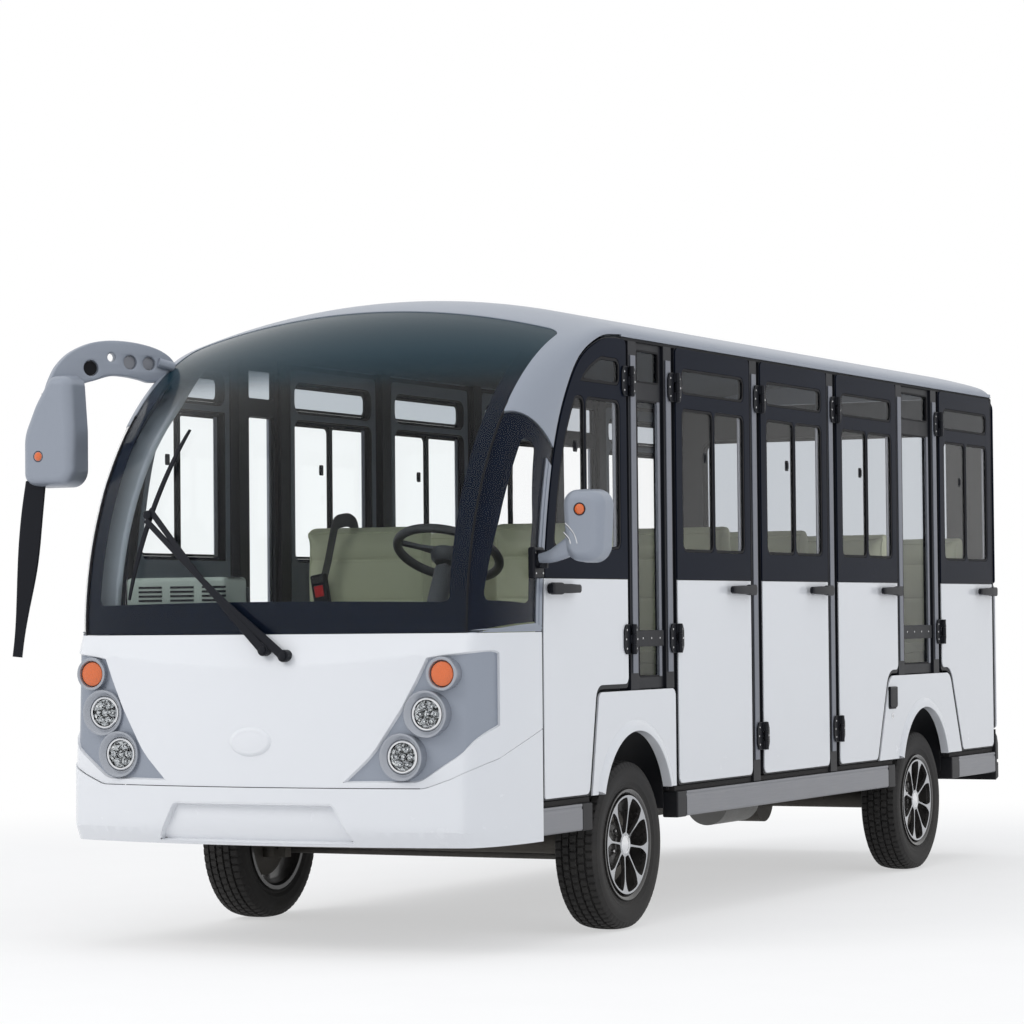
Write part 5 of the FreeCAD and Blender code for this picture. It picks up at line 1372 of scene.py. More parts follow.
def build_sides():
    parts = []
    for index, y in enumerate(PILLARS):
        over_arch = index in (0, 1, 4, 5)
        foot, strip_foot = (ARCH_TOP + 0.0005, ARCH_TOP + 0.055) if over_arch else (0.4275, 0.502)
        parts.append((side_block((-0.046, -0.0045), (y + 0.0003, y + PILLAR_WIDTH - 0.0003), (foot, EAVE - 0.0005)),
                      PLASTIC))
        middle = y + PILLAR_WIDTH / 2
        parts.append((ribbed_strip((middle - 0.0185, middle + 0.0185), (strip_foot, 1.842), HALF - 0.0045),
                      BARE_ALUMINIUM))
    for number, heights in HINGE_Z.items():
        side = 1 if number == 1 else -1
        axis = (DOOR_START[1] + FRONT_DOOR_WIDTH + HINGE_GAP / 2 if number == 1
                else DOOR_START[number] - HINGE_GAP / 2)
        for z in heights:
            parts += hinge_side(axis, z, side, [(-0.048, -0.0162), (0.0162, 0.048)])
            parts.append((rod((HINGE_X, axis, z - 0.0478), (HINGE_X, axis, z + 0.0478), 0.0038, 0.0005, 12), STEEL))
    both("pillars", parts, ["side_pillars"])

    frames, panes = [], []
    for (low, high), screws in zip(FIXED_PANES, (3, 4)):
        bottom = ARCH_TOP + 0.039
        outer = rectangle((low + 0.001, high - 0.001), (ARCH_TOP + 0.002, EAVE - 0.001), 0.006)
        clear = rectangle((low + 0.022, high - 0.022), (bottom + 0.004, 1.700), 0.012)
        transom = rectangle((low + 0.022, high - 0.022), (1.762, 1.862), 0.010)
        frames.append((on_side(outer, [clear, transom], -0.034, -0.0135, 0.002), PLASTIC))
        for loop, finish in ((clear, WINDOW), (transom, SMOKED)):
            panes.append((on_side(grow(loop, 0.004), (), -0.026, -0.0205, 0.0006), finish))
            frames.append((on_side(grow(loop, 0.004), [shrunk(loop, 0.003)], -0.0200, -0.0125, 0.0015), RUBBER))
        # latch bar across the pane at the hinges' height, and the pane's aluminium edge
        start, end = low + 0.006, high - 0.006
        frames.append((side_block((-0.0200, -0.0085), (start, end), (0.905, 0.958), 0.003), PLASTIC))
        frames += [(screw(start + (end - start) * (k + 0.5) / screws, 0.932, HALF - 0.0086), SCREW)
                   for k in range(screws)]
        frames.append((side_block((-0.0200, -0.0095), (high - 0.040, high - 0.020), (bottom + 0.002, 1.702)),
                       BARE_ALUMINIUM))
    both("fixed_panes", frames + panes, ["side_glass"])


def arch_opening(which, radius, foot):
    """Wheel opening: a round top on straight legs; points from the front leg over to the rear one."""
    axle = ARCH[which][0]
    centre = TYRE_RADIUS + ARCH_RISE
    first = math.asin(max(0.0, foot - centre) / radius)
    angles = [first + (math.pi - 2 * first) * k / 40 for k in range(41)]
    points = [(axle - radius * math.cos(a), centre + radius * math.sin(a)) for a in angles]
    if foot < centre:
        points = [(axle - radius, foot)] + points + [(axle + radius, foot)]
    return points


# (outwards, away from the opening) from the wheel opening's edge
ARCH_LIP = [(-0.022, 0.0), (0.0070, 0.0), (0.0094, 0.0016), (0.0100, 0.0042), (0.0098, 0.0140), (0.0090, 0.0220),
            (0.0066, 0.0285), (0.0026, 0.0325), (-0.0002, 0.0365), (-0.004, 0.0365), (-0.022, 0.0040)]


def arch_lip(opening):
    """Rolled lip: a section swept round the opening, blending out of the panel."""
    path = [Vector((HALF, y, z)) for y, z in divided(opening, 0.02, False)]
    loops = []
    for before, here, after in zip(path[:1] + path, path, path[1:] + path[-1:]):
        along = (after - before).normalized()
        away = Vector((0, -along.z, along.y))
        loops.append([here + Vector((out, 0, 0)) + away * up for out, up in ARCH_LIP])
    return skin(loops)


def build_arch_panels():
    for which in ("front", "rear"):
        panel = arch_outline(which, 0.0)
        foot = panel[0][1]
        face = (panel + arch_opening(which, ARCH_RADIUS + 0.032, foot)[::-1])[::-1]
        back = (shrunk(panel, 0.006) + arch_opening(which, ARCH_RADIUS + 0.001, foot + 0.004)[::-1])[::-1]
        parts = [(on_side(face, (), -0.008, -0.0002, 0.0016), WHITE),
                 (arch_lip(arch_opening(which, ARCH_RADIUS, foot)), WHITE),
                 (on_side(back, (), -0.0218, -0.0082, 0.001), PLASTIC)]
        socket = []
        if which == "rear":                     # lock and seat of the charging flap, on the left only
            y, z = REAR_AXLE_Y - 0.360, 0.612
            lock = [(0.0, 0.012), (0.0012, 0.0118), (0.0020, 0.010), (0.0022, 0.0066), (0.0010, 0.0062), (0.0012, 0.0)]
            seat = rectangle((REAR_AXLE_Y - 0.404, REAR_AXLE_Y - 0.316), (0.639, 0.7245), 0.008)
            socket = [(spun(lock, (HALF - 0.0002, y, z), (1, 0, 0), 28), CHROME),
                      (side_block((0.0006, 0.0016), (y - 0.0008, y + 0.0008), (z - 0.004, z + 0.004), 0.0002), PLASTIC),
                      (on_side(seat, (), -0.001, 0.0002, 0.0004), RUBBER)]
        piece("arch_%s_left" % which, parts + socket,
              stands_for=["arch_panels"] if which == "front" else (), smooth=40)
        piece("arch_%s_right" % which, mirrored(parts), smooth=40)


# ---------------------------------------------------------------- sills, wheel wells, rear
def build_sills():
    low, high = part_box("sills")[0].z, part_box("sills")[1].z
    tall, inner, clear = high - low, -0.058, 0.330
    # (start, end, length of the black end pieces at the two ends)
    spans = [(DOOR_LINE - PANEL_GAP + 0.0003, FRONT_AXLE_Y - clear, 0, 0.075),
             (FRONT_AXLE_Y + clear, REAR_AXLE_Y - clear, 0.078, 0.078),
             (REAR_AXLE_Y + clear, REAR_WALL_Y - 0.0243, 0.092, 0)]
    face = [(inner, 0.003), (-0.006, 0.003), (-0.002, 0.008), (-0.0022, tall - 0.020), (-0.0045, tall - 0.017),
            (-0.0045, tall - 0.012), (-0.0022, tall - 0.009), (-0.0035, tall - 0.002), (inner, tall - 0.002)]
    face = [(HALF + x, low + z) for x, z in face]
    parts = []
    for start, end, near, far in spans:
        parts.append((bevelled(prism(face, (start + near, end - far)), 0.0012, 30), ALUMINIUM))
        for y, length in (((start, start + near), near), ((end - far, end), far)):
            if length:
                parts.append((side_block((inner, -0.0021), (y[0] + 0.0004, y[1] - 0.0006), (low + 0.001, high - 0.001),
                                         0.005, 3), PLASTIC))
        # black kick strip between sill and doors
        parts.append((side_block((-0.052, -0.014), (start + 0.002, end - 0.002),
                                 (high - 0.001, DOOR_BOTTOM - 0.0025), 0.0015), RUBBER))
    both("sill", parts, ["sills"])


def build_wells():
    """Black wheel housings behind the arch openings."""
    foot, depth = 0.372, 0.28
    for which in ("front", "rear"):
        opening = divided(arch_opening(which, 0.300, foot), 0.04, False)
        verts = [(x, y, z) for y, z in opening for x in (HALF - 0.040, HALF - 0.040 - depth)]
        faces = [[2 * i, 2 * i + 1, 2 * i + 3, 2 * i + 2] for i in range(len(opening) - 1)]
        liner = modified(new_mesh(verts, faces), "SOLIDIFY", thickness=0.003, offset=0.0)
        wall = on_side(arch_opening(which, 0.302, foot)[::-1], (), -0.322, -0.319, 0.0005)
        both("wheel_well_" + which, [(liner, PLASTIC), (wall, PLASTIC)])


BACK = Matrix(((-1, 0, 0, 0), (0, 0, 1, 0), (0, 1, 0, 0), (0, 0, 0, 1)))      # local (x, y, z) to (-X, Z, Y)


def on_back(outline, holes, low, high, bevel=0.0012):
    """Plate in the (-X, Z) plane between two Y values."""
    return moved(plate(outline, holes, low, high, bevel), BACK)


def build_rear():
    wall, half = REAR_WALL_Y, HALF - 0.0005
    lamp_x, lamp_z = (0.600, 0.690), (0.690, 0.960)
    lamp_holes = [rectangle(x, lamp_z, 0.012, 4) for x in (lamp_x, (-lamp_x[1], -lamp_x[0]))]
    opening = rectangle((-0.560, 0.560), (1.190, 1.760), 0.05, 8)
    core = rectangle((0.006 - HALF, HALF - 0.006), (0.5215, EAVE - 0.001), 0.012, 4)
    lower = rectangle((-half, half), (0.522, BELT - 0.002), 0.018, 5)
    upper = rectangle((-half, half), (BELT + 0.002, EAVE - 0.003), [0.012, 0.012, 0.05, 0.05], 6)
    # plate recess with sloping sides
    recess = rounded([(-0.300, 0.640), (0.300, 0.640), (0.270, 0.800), (-0.270, 0.800)], 0.024, 6)
    slope = skin([[(x, wall + y, z) for x, z in line]
                  for line, y in ((recess, -0.0006), (shrunk(recess, 0.010), -0.0145), (recess, -0.016))], True)
    gable = [across(u, 0, EAVE - WAIST, 0.012) for u in [U_EDGE * (1 - 2 * k / 60) for k in range(61)]]
    gable = [(x * 0.985, EAVE + (WAIST + r - EAVE) * 0.60) for x, r in gable if WAIST + r > EAVE + 0.001][::-1]
    gable = [(-gable[-1][0], EAVE + 0.0005)] + gable + [(gable[-1][0], EAVE + 0.0005)]
    parts = [(on_back(core, lamp_holes + [opening], wall - 0.0238, wall - 0.0085, 0.001), PLASTIC),
             (on_back(lower, lamp_holes + [recess], wall - 0.0075, wall - 0.0005, 0.0022), WHITE),
             (on_back(grow(recess, 0.004), (), wall - 0.018, wall - 0.014, 0.001), WHITE), (slope, WHITE),
             (on_back(upper, [opening], wall - 0.0075, wall - 0.0005, 0.002), FRIT),
             (on_back(grow(opening, -0.0005), [shrunk(opening, 0.016)], wall - 0.018, wall - 0.0006, 0.003), RUBBER),
             (on_back(divided(gable, 0.05), (), wall - 0.022, wall - 0.002, 0.0015), SILVER)]
    # locks and upper seam of the rear service panel
    lock = [(0, 0.016), (0.002, 0.0155), (0.003, 0.012), (0.0032, 0)]
    parts += [(spun(lock, (x, wall - 0.0032, 0.86), (0, 1, 0), 24), CHROME) for x in (-0.42, 0.42)]
    parts.append((on_back(rectangle((-0.46, 0.46), (0.8465, 0.8485)), (), wall - 0.0015, wall - 0.0003, 0.0002),
                  RUBBER))
    piece("rear_wall", parts, stands_for=["rear_panel"], smooth=35)
    pane = on_back(shrunk(opening, 0.004), (), wall - 0.016, wall - 0.010, 0.001)
    piece("rear_window_glass", [(pane, SMOKED)], stands_for=["rear_window"])

    x, z = [(low + 0.0006, high - 0.0006) for low, high in (lamp_x, lamp_z)]
    parts = [(block(x, (wall - 0.0135, wall + 0.004), z, 0.004, 3), PLASTIC)]
    for low, high, finish in ((z[0] + 0.006, z[0] + 0.088, RED_LENS), (z[0] + 0.092, z[0] + 0.174, AMBER),
                              (z[0] + 0.178, z[1] - 0.006, RED_LENS)):
        parts.append((block((x[0] + 0.006, x[1] - 0.006), (wall + 0.002, wall + 0.0098), (low, high), 0.0038, 4),
                      finish))
    both("tail_lamp", parts, ["tail_lamps"])

    # wrap-round bumper with a groove along it; levels are (height, distance inside the plan)
    low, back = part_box("rear_bumper")[0].z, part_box("rear_bumper")[1].y
    plan = rectangle((-half, half), (wall - 0.0235, back - 0.0005), [0.004, 0.004, 0.040, 0.040], 8)
    levels = [(0.0, 0.012), (0.004, 0.004), (0.012, 0.0), (0.070, 0.0), (0.074, 0.004), (0.082, 0.004),
              (0.086, 0.0), (0.150, 0.0), (0.180, 0.003), (0.200, 0.010), (0.206, 0.018), (0.2095, 0.024)]
    loops = []
    for height, inward in levels:
        narrow = (HALF - inward) / HALF
        loops.append([(px if py < wall - 0.02 else px * narrow, py - (inward if py > wall else 0), low + height)
                      for px, py in plan])
    reflector = [(0, 0.024), (0.003, 0.0235), (0.004, 0.020), (0.0025, 0.0188), (0.003, 0)]
    parts = [(skin(loops), PLASTIC)]
    parts += [(spun(reflector, (x, back - 0.0042, low + 0.117), (0, 1, 0), 28), RED_LENS) for x in (0.52, -0.52)]
    piece("rear_bumper_skin", parts, stands_for=["rear_bumper"], smooth=30)


# ---------------------------------------------------------------- wheels
def spoke_disc():
    """Dished disc with eight petal openings."""
    spokes, steps = 8, 14
    holes = []
    for spoke in range(spokes):
        centre = math.tau * (spoke + 0.5) / spokes + 0.10
        left, right = [], []
        for i in range(steps + 1):
            r = 0.040 + 0.110 * i / steps
            flare = max(0.0, (r - 0.098) / 0.052)
            width = 0.0066 + 0.0016 * (i < 2) + 0.034 * flare ** 2.2
            half = math.pi / spokes - math.asin(min(0.9, width / 2 / r))
            left.append((r, centre + half))
            right.append((r, centre - half))
        arc = [(0.1515, centre - half + 2 * half * j / 8) for j in range(1, 8)]
        hole = [(r * math.cos(t), r * math.sin(t)) for r, t in right + arc + left[::-1]]
        corner = {0: 0.004, len(hole) - 1: 0.004, steps: 0.006, len(right) + len(arc): 0.006}
        hole = rounded(hole, [corner.get(i, 0) for i in range(len(hole))], 4)
        holes.append(divided(hole, 0.006))
    mesh = plate(circle(0, 0, 0.1585, 128), holes, 0.0, 0.014, 0.0012)
    for vertex in mesh.vertices:
        r = math.hypot(vertex.co.x, vertex.co.y)
        vertex.co.z += 0.0475 + 0.0075 * (r / 0.158) ** 2 - 0.004 * math.exp(-(r / 0.05) ** 2)
    return mesh


def split_by_slope(mesh, limit):
    """(faces that look along +Z above a limit, the others) as two meshes."""
    result = []
    for front in (True, False):
        bm = bmesh.new()
        bm.from_mesh(mesh)
        bm.normal_update()
        bmesh.ops.delete(bm, geom=[f for f in bm.faces if (f.normal.z < limit) == front], context="FACES")
        half = bpy.data.meshes.new("half")
        bm.to_mesh(half)
        bm.free()
        result.append(half)
    return result


def tyre_mesh():
    """Treaded tyre about the local Z axis, its outer side towards +Z."""
    tread, lip, half_crown = 0.272, 0.178, 0.0590
    side = [(0.0635, lip + 0.001), (0.0640, lip + 0.004), (0.0660, lip + 0.009), (0.0655, lip + 0.012),
            (0.0690, lip + 0.020), (0.0712, lip + 0.024), (0.0708, lip + 0.027), (0.0738, lip + 0.042),
            (0.0748, lip + 0.050), (0.0742, lip + 0.060), (0.0724, lip + 0.066), (0.0728, lip + 0.0685),
            (0.0700, tread - 0.020), (0.0660, tread - 0.0115), (0.0630, tread - 0.0078)]
    grooves = [0.0395, 0.0135, -0.0135, -0.0395]
    marks = [half_crown]
    for g in grooves:
        marks += [g + 0.0036, g + 0.0028, g - 0.0028, g - 0.0036]
    marks.append(-half_crown)
    across_crown = []
    for a, b in zip(marks, marks[1:]):
        across_crown += [a, a + (b - a) * 0.5] if a - b > 0.012 else [a]
    crown = []                                  # (along the axle, radius, whether it's the top of a tread block)
    for x in across_crown + [-half_crown]:
        in_groove = any(abs(x - g) < 0.0031 for g in grooves)
        top = tread - 0.0004 - 0.0062 * (abs(x) / half_crown) ** 2.6
        crown.append((x, top - (0.0072 if in_groove else 0.0), not in_groove))
    profile = [(x, r, False) for x, r in side] + crown + [(-x, r, False) for x, r in side[::-1]]
    steps, verts = 320, []
    for k in range(steps):
        angle = math.tau * k / steps
        for x, r, block_top in profile:
            lane = int((x + 0.0660) / 0.0264)
            if block_top and (k + lane * 2 + (x > 0)) % 5 == 0:
                r -= 0.0052                     # cut across the tread
            elif not block_top and tread - 0.024 < r < tread - 0.007 and k % 5 == 0:
                r -= 0.0030                     # cut in the shoulder
            verts.append((r * math.cos(angle), r * math.sin(angle), x))
    return new_mesh(verts, ring_faces(len(profile), steps, True, True))


def build_wheels():
    def turned(profile, segments, at=(0, 0, 0), closed=False):
        return spun(profile, at, (0, 0, 1), segments, closed)

    machined, black = split_by_slope(spoke_disc(), 0.80)
    barrel = [(0.0695, 0.1775), (0.0700, 0.1765), (0.0700, 0.1735), (0.0680, 0.1690), (0.0630, 0.1640),
              (0.0560, 0.1590), (0.0480, 0.1565), (-0.020, 0.1560), (-0.060, 0.1560), (-0.0695, 0.1640),
              (-0.0700, 0.1775), (-0.0630, 0.1778), (-0.0628, 0.1660), (0.0628, 0.1660), (0.0632, 0.1778)]
    edge = [(0.0698, 0.1768), (0.0699, 0.1752), (0.0698, 0.1736), (0.0686, 0.1710), (0.0680, 0.1712),
            (0.0686, 0.1770)]
    cap = [(0.048, 0.0), (0.048, 0.0300), (0.0600, 0.0300), (0.0612, 0.0290), (0.0615, 0.0262), (0.0600, 0.0245),
           (0.0622, 0.0215), (0.0640, 0.0140), (0.0646, 0.0)]
    hub = [(0.012, 0.0), (0.012, 0.074), (0.026, 0.074), (0.034, 0.066), (0.040, 0.040), (0.048, 0.036), (0.048, 0.0)]
    drum = [(-0.022, 0.130), (0.000, 0.130), (0.008, 0.122), (0.010, 0.108), (0.013, 0.100), (0.013, 0.070)]
    nut = [(0, 0.0105), (0.004, 0.0105), (0.006, 0.0092), (0.016, 0.0090), (0.020, 0.0066), (0.0212, 0.0)]
    parts = [(machined, MACHINED), (black, RIM_BLACK), (turned(barrel, 96, closed=True), RIM_BLACK),
             (turned(edge, 96, closed=True), MACHINED), (turned(cap, 48), CHROME), (turned(hub, 48), RIM_BLACK),
             (turned(drum, 64), CAST)]
    for t in [math.tau * k / 5 + 0.42 for k in range(5)]:
        parts.append((turned(nut, 6, (0.0555 * math.cos(t), 0.0555 * math.sin(t), 0.026)), SCREW))
    parts.append((rod((0.132, 0.030, 0.046), (0.128, 0.029, 0.062), 0.0035, 0.001, 12), RUBBER))
    rubber = tyre_mesh()
    for place, axle, angle in (("front", FRONT_AXLE_Y, 0.55), ("rear", REAR_AXLE_Y, -0.35)):
        for sign, side in SIDES:
            name = "%s_%s" % (place, side)
            turn = Matrix(((0, 0, sign, 0), (1, 0, 0, 0), (0, sign, 0, 0), (0, 0, 0, 1)))
            at = Matrix.Translation((sign * 0.648, axle, TYRE_RADIUS)) @ turn
            roll = at @ Matrix.Rotation(angle, 4, "Z")
            piece("wheel_rim_" + name, [(moved(m, roll), f) for m, f in parts], body="wheel_" + name,
                  stands_for=["rim_" + name], smooth=30)
            piece("wheel_tyre_" + name, [(moved(rubber, at), TYRE)], body="wheel_" + name,
                  stands_for=["tyre_" + name], smooth=28)


# ---------------------------------------------------------------- flap, mirrors, wiper
def build_flap():
    y, z = (REAR_AXLE_Y - 0.400, REAR_AXLE_Y - 0.320), (0.6445, 0.7235)
    lid = on_side(rectangle(y, z, [0.012, 0.012, 0.003, 0.003]), (), 0.0006, 0.0080, 0.0024)
    rim = rectangle((y[0] + 0.011, y[1] - 0.011), (z[0] + 0.010, z[1] - 0.012), 0.007)
    ridge = on_side(rim, [shrunk(rim, 0.003)], 0.0060, 0.0083, 0.0008)
    grip = on_side(rectangle((y[0] + 0.028, y[1] - 0.028), (z[0] - 0.0003, z[0] + 0.007), 0.002), (), 0.0040, 0.0083)
    hinge = rod((HALF + 0.0043, y[0] + 0.004, 0.7200), (HALF + 0.0043, y[1] - 0.004, 0.7200), 0.0039, 0.0006, 16)
    piece("charge_lid", [(lid, PLASTIC), (ridge, PLASTIC), (grip, PLASTIC), (hinge, STEEL)], body="charge_flap",
          stands_for=["charge_flap"])


def glass_plate(x, y, z):
    """Mirror glass with its frame on the rear face of a housing."""
    outline = rectangle(x, z, 0.026, 6)
    frame = on_back(flipped(outline), [flipped(shrunk(outline, 0.007))], y - 0.004, y)
    pane = on_back(flipped(shrunk(outline, 0.006)), (), y - 0.004, y - 0.0015, 0.0005)
    return [(frame, PLASTIC), (pane, MIRROR)]


def housing(outline, y, radius):
    """Mirror housing behind a front outline: full at the rear rim, rounded towards the front."""
    depth = y[1] - y[0]
    lines = [(0.003, y[1]), (0.0, y[1] - 0.004), (0.0015, y[1] - 0.5 * (depth - radius))]
    for a in [math.pi / 2 * k / 10 * 0.96 for k in range(11)]:
        lines.append((0.003 + radius * (1 - math.cos(a)) * 0.92, y[0] + radius - radius * math.sin(a)))
    return skin([[(x, at, z) for x, z in (shrunk(outline, inward) if inward else outline)] for inward, at in lines])


def round_lamp(x, y, z, radius):
    """Small domed side lamp in its black bezel, facing forward."""
    bezel = [(0, radius + 0.003), (-0.002, radius + 0.003), (-0.003, radius + 0.0015), (-0.0015, radius), (0, radius)]
    lens = [(0.001, 0.0), (0.001, radius)]
    lens += [(-0.0065 * math.sin(a), radius * math.cos(a)) for a in [math.pi / 2 * k / 6 for k in range(6)]]
    return [(spun(profile, (x, y, z), (0, 1, 0), 36), finish)
            for profile, finish in ((bezel, PLASTIC), (lens + [(-0.0065, 0.0)], AMBER))]


def build_left_mirror():
    x, y, z = (0.848, 0.9995), (DOOR_LINE - 0.0955, DOOR_LINE - 0.012), (1.1635, 1.3895)
    face = rounded([(x[0] + 0.014, z[0] + 0.004), (x[1] - 0.012, z[0]), (x[1], z[1] - 0.006), (x[0] + 0.004, z[1])],
                   [0.050, 0.054, 0.050, 0.046], 10)
    parts = [(housing(face, y, 0.034), SILVER)]
    parts += glass_plate((x[0] + 0.012, x[1] - 0.012), y[1] + 0.0005, (z[0] + 0.014, z[1] - 0.014))
    # two bright lines and the side lamp on the front face
    front = y[0] + 0.0004
    for points in (((0.872, 1.283), (0.886, 1.270), (0.903, 1.248), (0.912, 1.222)),
                   ((0.866, 1.257), (0.875, 1.248), (0.885, 1.236), (0.890, 1.222))):
        line = smooth_line([(px, front + 0.002 + 0.9 * max(0.0, 0.878 - px) ** 1.2, pz) for px, pz in points], 6)
        parts.append((tube(line, circle(0, 0, 0.0030, 8)), CHROME))
    parts += round_lamp(0.921, front + 0.0005, 1.325, 0.0165)
    # neck, foot on the body and the pivot between them
    neck = [(0.776, DOOR_LINE - 0.060, 1.180), (0.812, DOOR_LINE - 0.062, 1.186), (0.845, DOOR_LINE - 0.060, 1.200),
            (0.885, DOOR_LINE - 0.056, 1.222)]
    section = bar(0.020, 0.016, 0.012)
    parts.append((tube(smooth_line(neck, 8), section, scale=lambda t: (0.95 + 0.55 * t ** 1.5, 1.0 + 0.9 * t ** 1.5)),
                  SILVER))
    parts.append((side_block((-0.008, 0.0150), (DOOR_LINE - 0.086, DOOR_LINE - 0.014), (1.1205, 1.2145), 0.006, 3),
                  PLASTIC))
    knuckle = [(HALF + 0.006, DOOR_LINE - 0.052, 1.172), (HALF + 0.030, DOOR_LINE - 0.056, 1.176)]
    parts.append((tube(smooth_line(knuckle, 4), section, scale=lambda t: (1.15 - 0.15 * t, 1.25 - 0.2 * t)), PLASTIC))
    parts.append((rod((HALF + 0.030, DOOR_LINE - 0.058, 1.150), (HALF + 0.030, DOOR_LINE - 0.058, 1.206), 0.016, 0.003),
                  PLASTIC))
    for dy, dz in ((-0.024, 0.030), (0.024, 0.030), (-0.024, -0.032), (0.024, -0.032)):
        parts.append((screw(DOOR_LINE - 0.050 + dy, 1.168 + dz, HALF + 0.0150), SCREW))
    piece("left_mirror", parts, stands_for=["mirror_left"], smooth=35)


def build_right_mirror():
    y = (DOOR_LINE - 0.238, DOOR_LINE - 0.142)
    head = [(-0.787, 1.432), (-0.787, 1.610), (-0.800, 1.790), (-0.882, 1.790), (-0.940, 1.700), (-0.985, 1.600),
            (-0.985, 1.432)]
    head = rounded(head, [0.055, 0.3, 0.040, 0.040, 0.25, 0.15, 0.045], 8)
    parts = [(housing(head, y, 0.036), SILVER)]
    parts += glass_plate((-0.970, -0.800), y[1] + 0.0005, (1.4465, 1.660))
    parts += round_lamp(-0.916, y[0] + 0.0020, 1.530, 0.0150)
    # flat arm with its four holes, in the plane from the head to the roof's corner; three are closed by a web
    base = Vector((-0.900, DOOR_LINE - 0.190, 0.0))
    along = Vector((-0.672 + 0.900, 0.350, 0)).normalized()
    plane = Matrix.Translation(base) @ Matrix((along, (0, 0, 1), along.cross(Vector((0, 0, 1))))).transposed().to_4x4()
    outer = [(-0.022, 1.690), (-0.018, 1.740), (-0.002, 1.785), (0.022, 1.826), (0.065, 1.866), (0.128, 1.896),
             (0.190, 1.908), (0.258, 1.908), (0.320, 1.900), (0.372, 1.886), (0.410, 1.866), (0.434, 1.842)]
    inner = [(0.434, 1.806), (0.394, 1.784), (0.345, 1.776), (0.306, 1.785), (0.257, 1.793), (0.207, 1.794),
             (0.150, 1.778), (0.108, 1.764), (0.092, 1.735), (0.088, 1.690)]
    holes = [(0.136, 1.8175, 0.0245, 28, RUBBER), (0.208, 1.8545, 0.0135, 24, None),
             (0.2733, 1.840, 0.0220, 28, ALUMINIUM), (0.340, 1.838, 0.0210, 28, ALUMINIUM)]
    flat_parts = [(plate(smooth_outline(outer) + smooth_outline(inner), [circle(*hole[:4])[::-1] for hole in holes],
                         -0.015, 0.015, 0.006), SILVER)]
    flat_parts += [(plate(circle(cx, cz, radius - 0.0005, 28), (), -0.003, 0.003, 0.001), finish)
                   for cx, cz, radius, _, finish in holes if finish]
    seam = rectangle((-0.024, 0.094), (1.7290, 1.7340), 0.0015, 2)
    flat_parts.append((plate(seam, (), -0.0162, 0.0162, 0.001), RUBBER))
    parts += [(moved(mesh, plane), finish) for mesh, finish in flat_parts]
    foot = [base + along * 0.372 + Vector((0, 0, 1.842)), base + along * 0.418 + Vector((0.006, 0.004, 1.828))]
    parts.append((tube(smooth_line(foot, 4), bar(0.030, 0.016, 0.012)), SILVER))
    # black strip that hangs below the head
    strip = [(-0.945, DOOR_LINE - 0.208, 1.450), (-0.952, DOOR_LINE - 0.222, 1.330), (-0.960, DOOR_LINE - 0.236, 1.170),
             (-0.969, DOOR_LINE - 0.252, 1.030), (-0.979, DOOR_LINE - 0.266, 0.892)]

    def taper(t):
        return 0.92 + 0.08 * math.sin(5 * t) - 0.40 * smooth_step(t, 0.35, 0.95), 1.0

    parts.append((tube(smooth_line(strip, 6), bar(0.035, 0.008, 0.006, 4), scale=taper, up=(-0.436, 0.9, 0)), PLASTIC))
    piece("right_mirror", parts, stands_for=["mirror_right"], smooth=35)


def smooth_outline(points):
    return [(p.x, p.y) for p in smooth_line([(a, b, 0) for a, b in points], 5)]


def on_screen(x, z, proud):
    """Point in front of the windscreen."""
    radius = DOME_RADIUS - DOME_SAG * (x / SEAM_X) ** 2 + proud
    return Vector((x, DOME_Y - math.sqrt(radius ** 2 - (z - WAIST) ** 2), z))


def build_wiper():
    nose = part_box("wiper")[0].y
    head, forward = (-0.429, 1.330), (0, 1, 0)
    parts = []
    for (x, z), side, sides in (((0.116, 0.895), -1, 24), ((0.047, 0.913), 1, 6)):
        parts.append((rod((x, nose + 0.0078, z), (x, nose + 0.0368, z), 0.0185, 0.002), PLASTIC))
        cap = [(0, 0.0), (0.0006, 0.009), (0.003, 0.0125), (0.016, 0.0125), (0.016, 0)]
        parts.append((spun(cap, (x, nose + 0.0010, z), forward, sides), PLASTIC))
        end = (head[0] + side * 0.004, head[1] + side * 0.016)
        line = [Vector((x, nose + 0.0085, z)), on_screen((x + end[0]) / 2, (z + end[1]) / 2, 0.022),
                on_screen(*end, 0.025)]
        parts.append((tube(smooth_line(line, 12), bar(0.0105, 0.0036, 0.0028, 3), up=forward,
                           scale=lambda t: (1.3 - 0.4 * smooth_step(t, 0.05, 0.35), 1.0)), PLASTIC))
    top = on_screen(*head, 0.030)
    cap = [(0, 0.0), (0.0004, 0.010), (0.003, 0.0135), (0.013, 0.0145), (0.016, 0.012), (0.024, 0.012), (0.024, 0)]
    parts.append((spun(cap, (top.x, top.y - 0.004, top.z), forward), PLASTIC))
    low, high, steps = (-0.477, 1.068), (-0.371, 1.598), 24
    spine, rubber = [], []
    for t in [k / steps for k in range(steps + 1)]:
        x, z = [a + (b - a) * t for a, b in zip(low, high)]
        spine.append(on_screen(x, z, 0.0075 + 0.006 * (1 - (2 * t - 1) ** 2)))
        rubber.append(on_screen(x, z, 0.0030))
    parts.append((tube(spine, bar(0.0080, 0.0035, 0.0030, 3), up=forward,
                       scale=lambda t: (0.45 + 0.55 * math.sin(math.pi * t) ** 0.5, 1.0)), PLASTIC))
    blade = [(-0.0035, -0.0022), (0.0035, -0.0022), (0.0016, 0.0024), (-0.0016, 0.0024)]
    parts.append((tube(rubber, blade, up=forward), RUBBER))
    piece("windscreen_wiper", parts, stands_for=["wiper"], smooth=35)


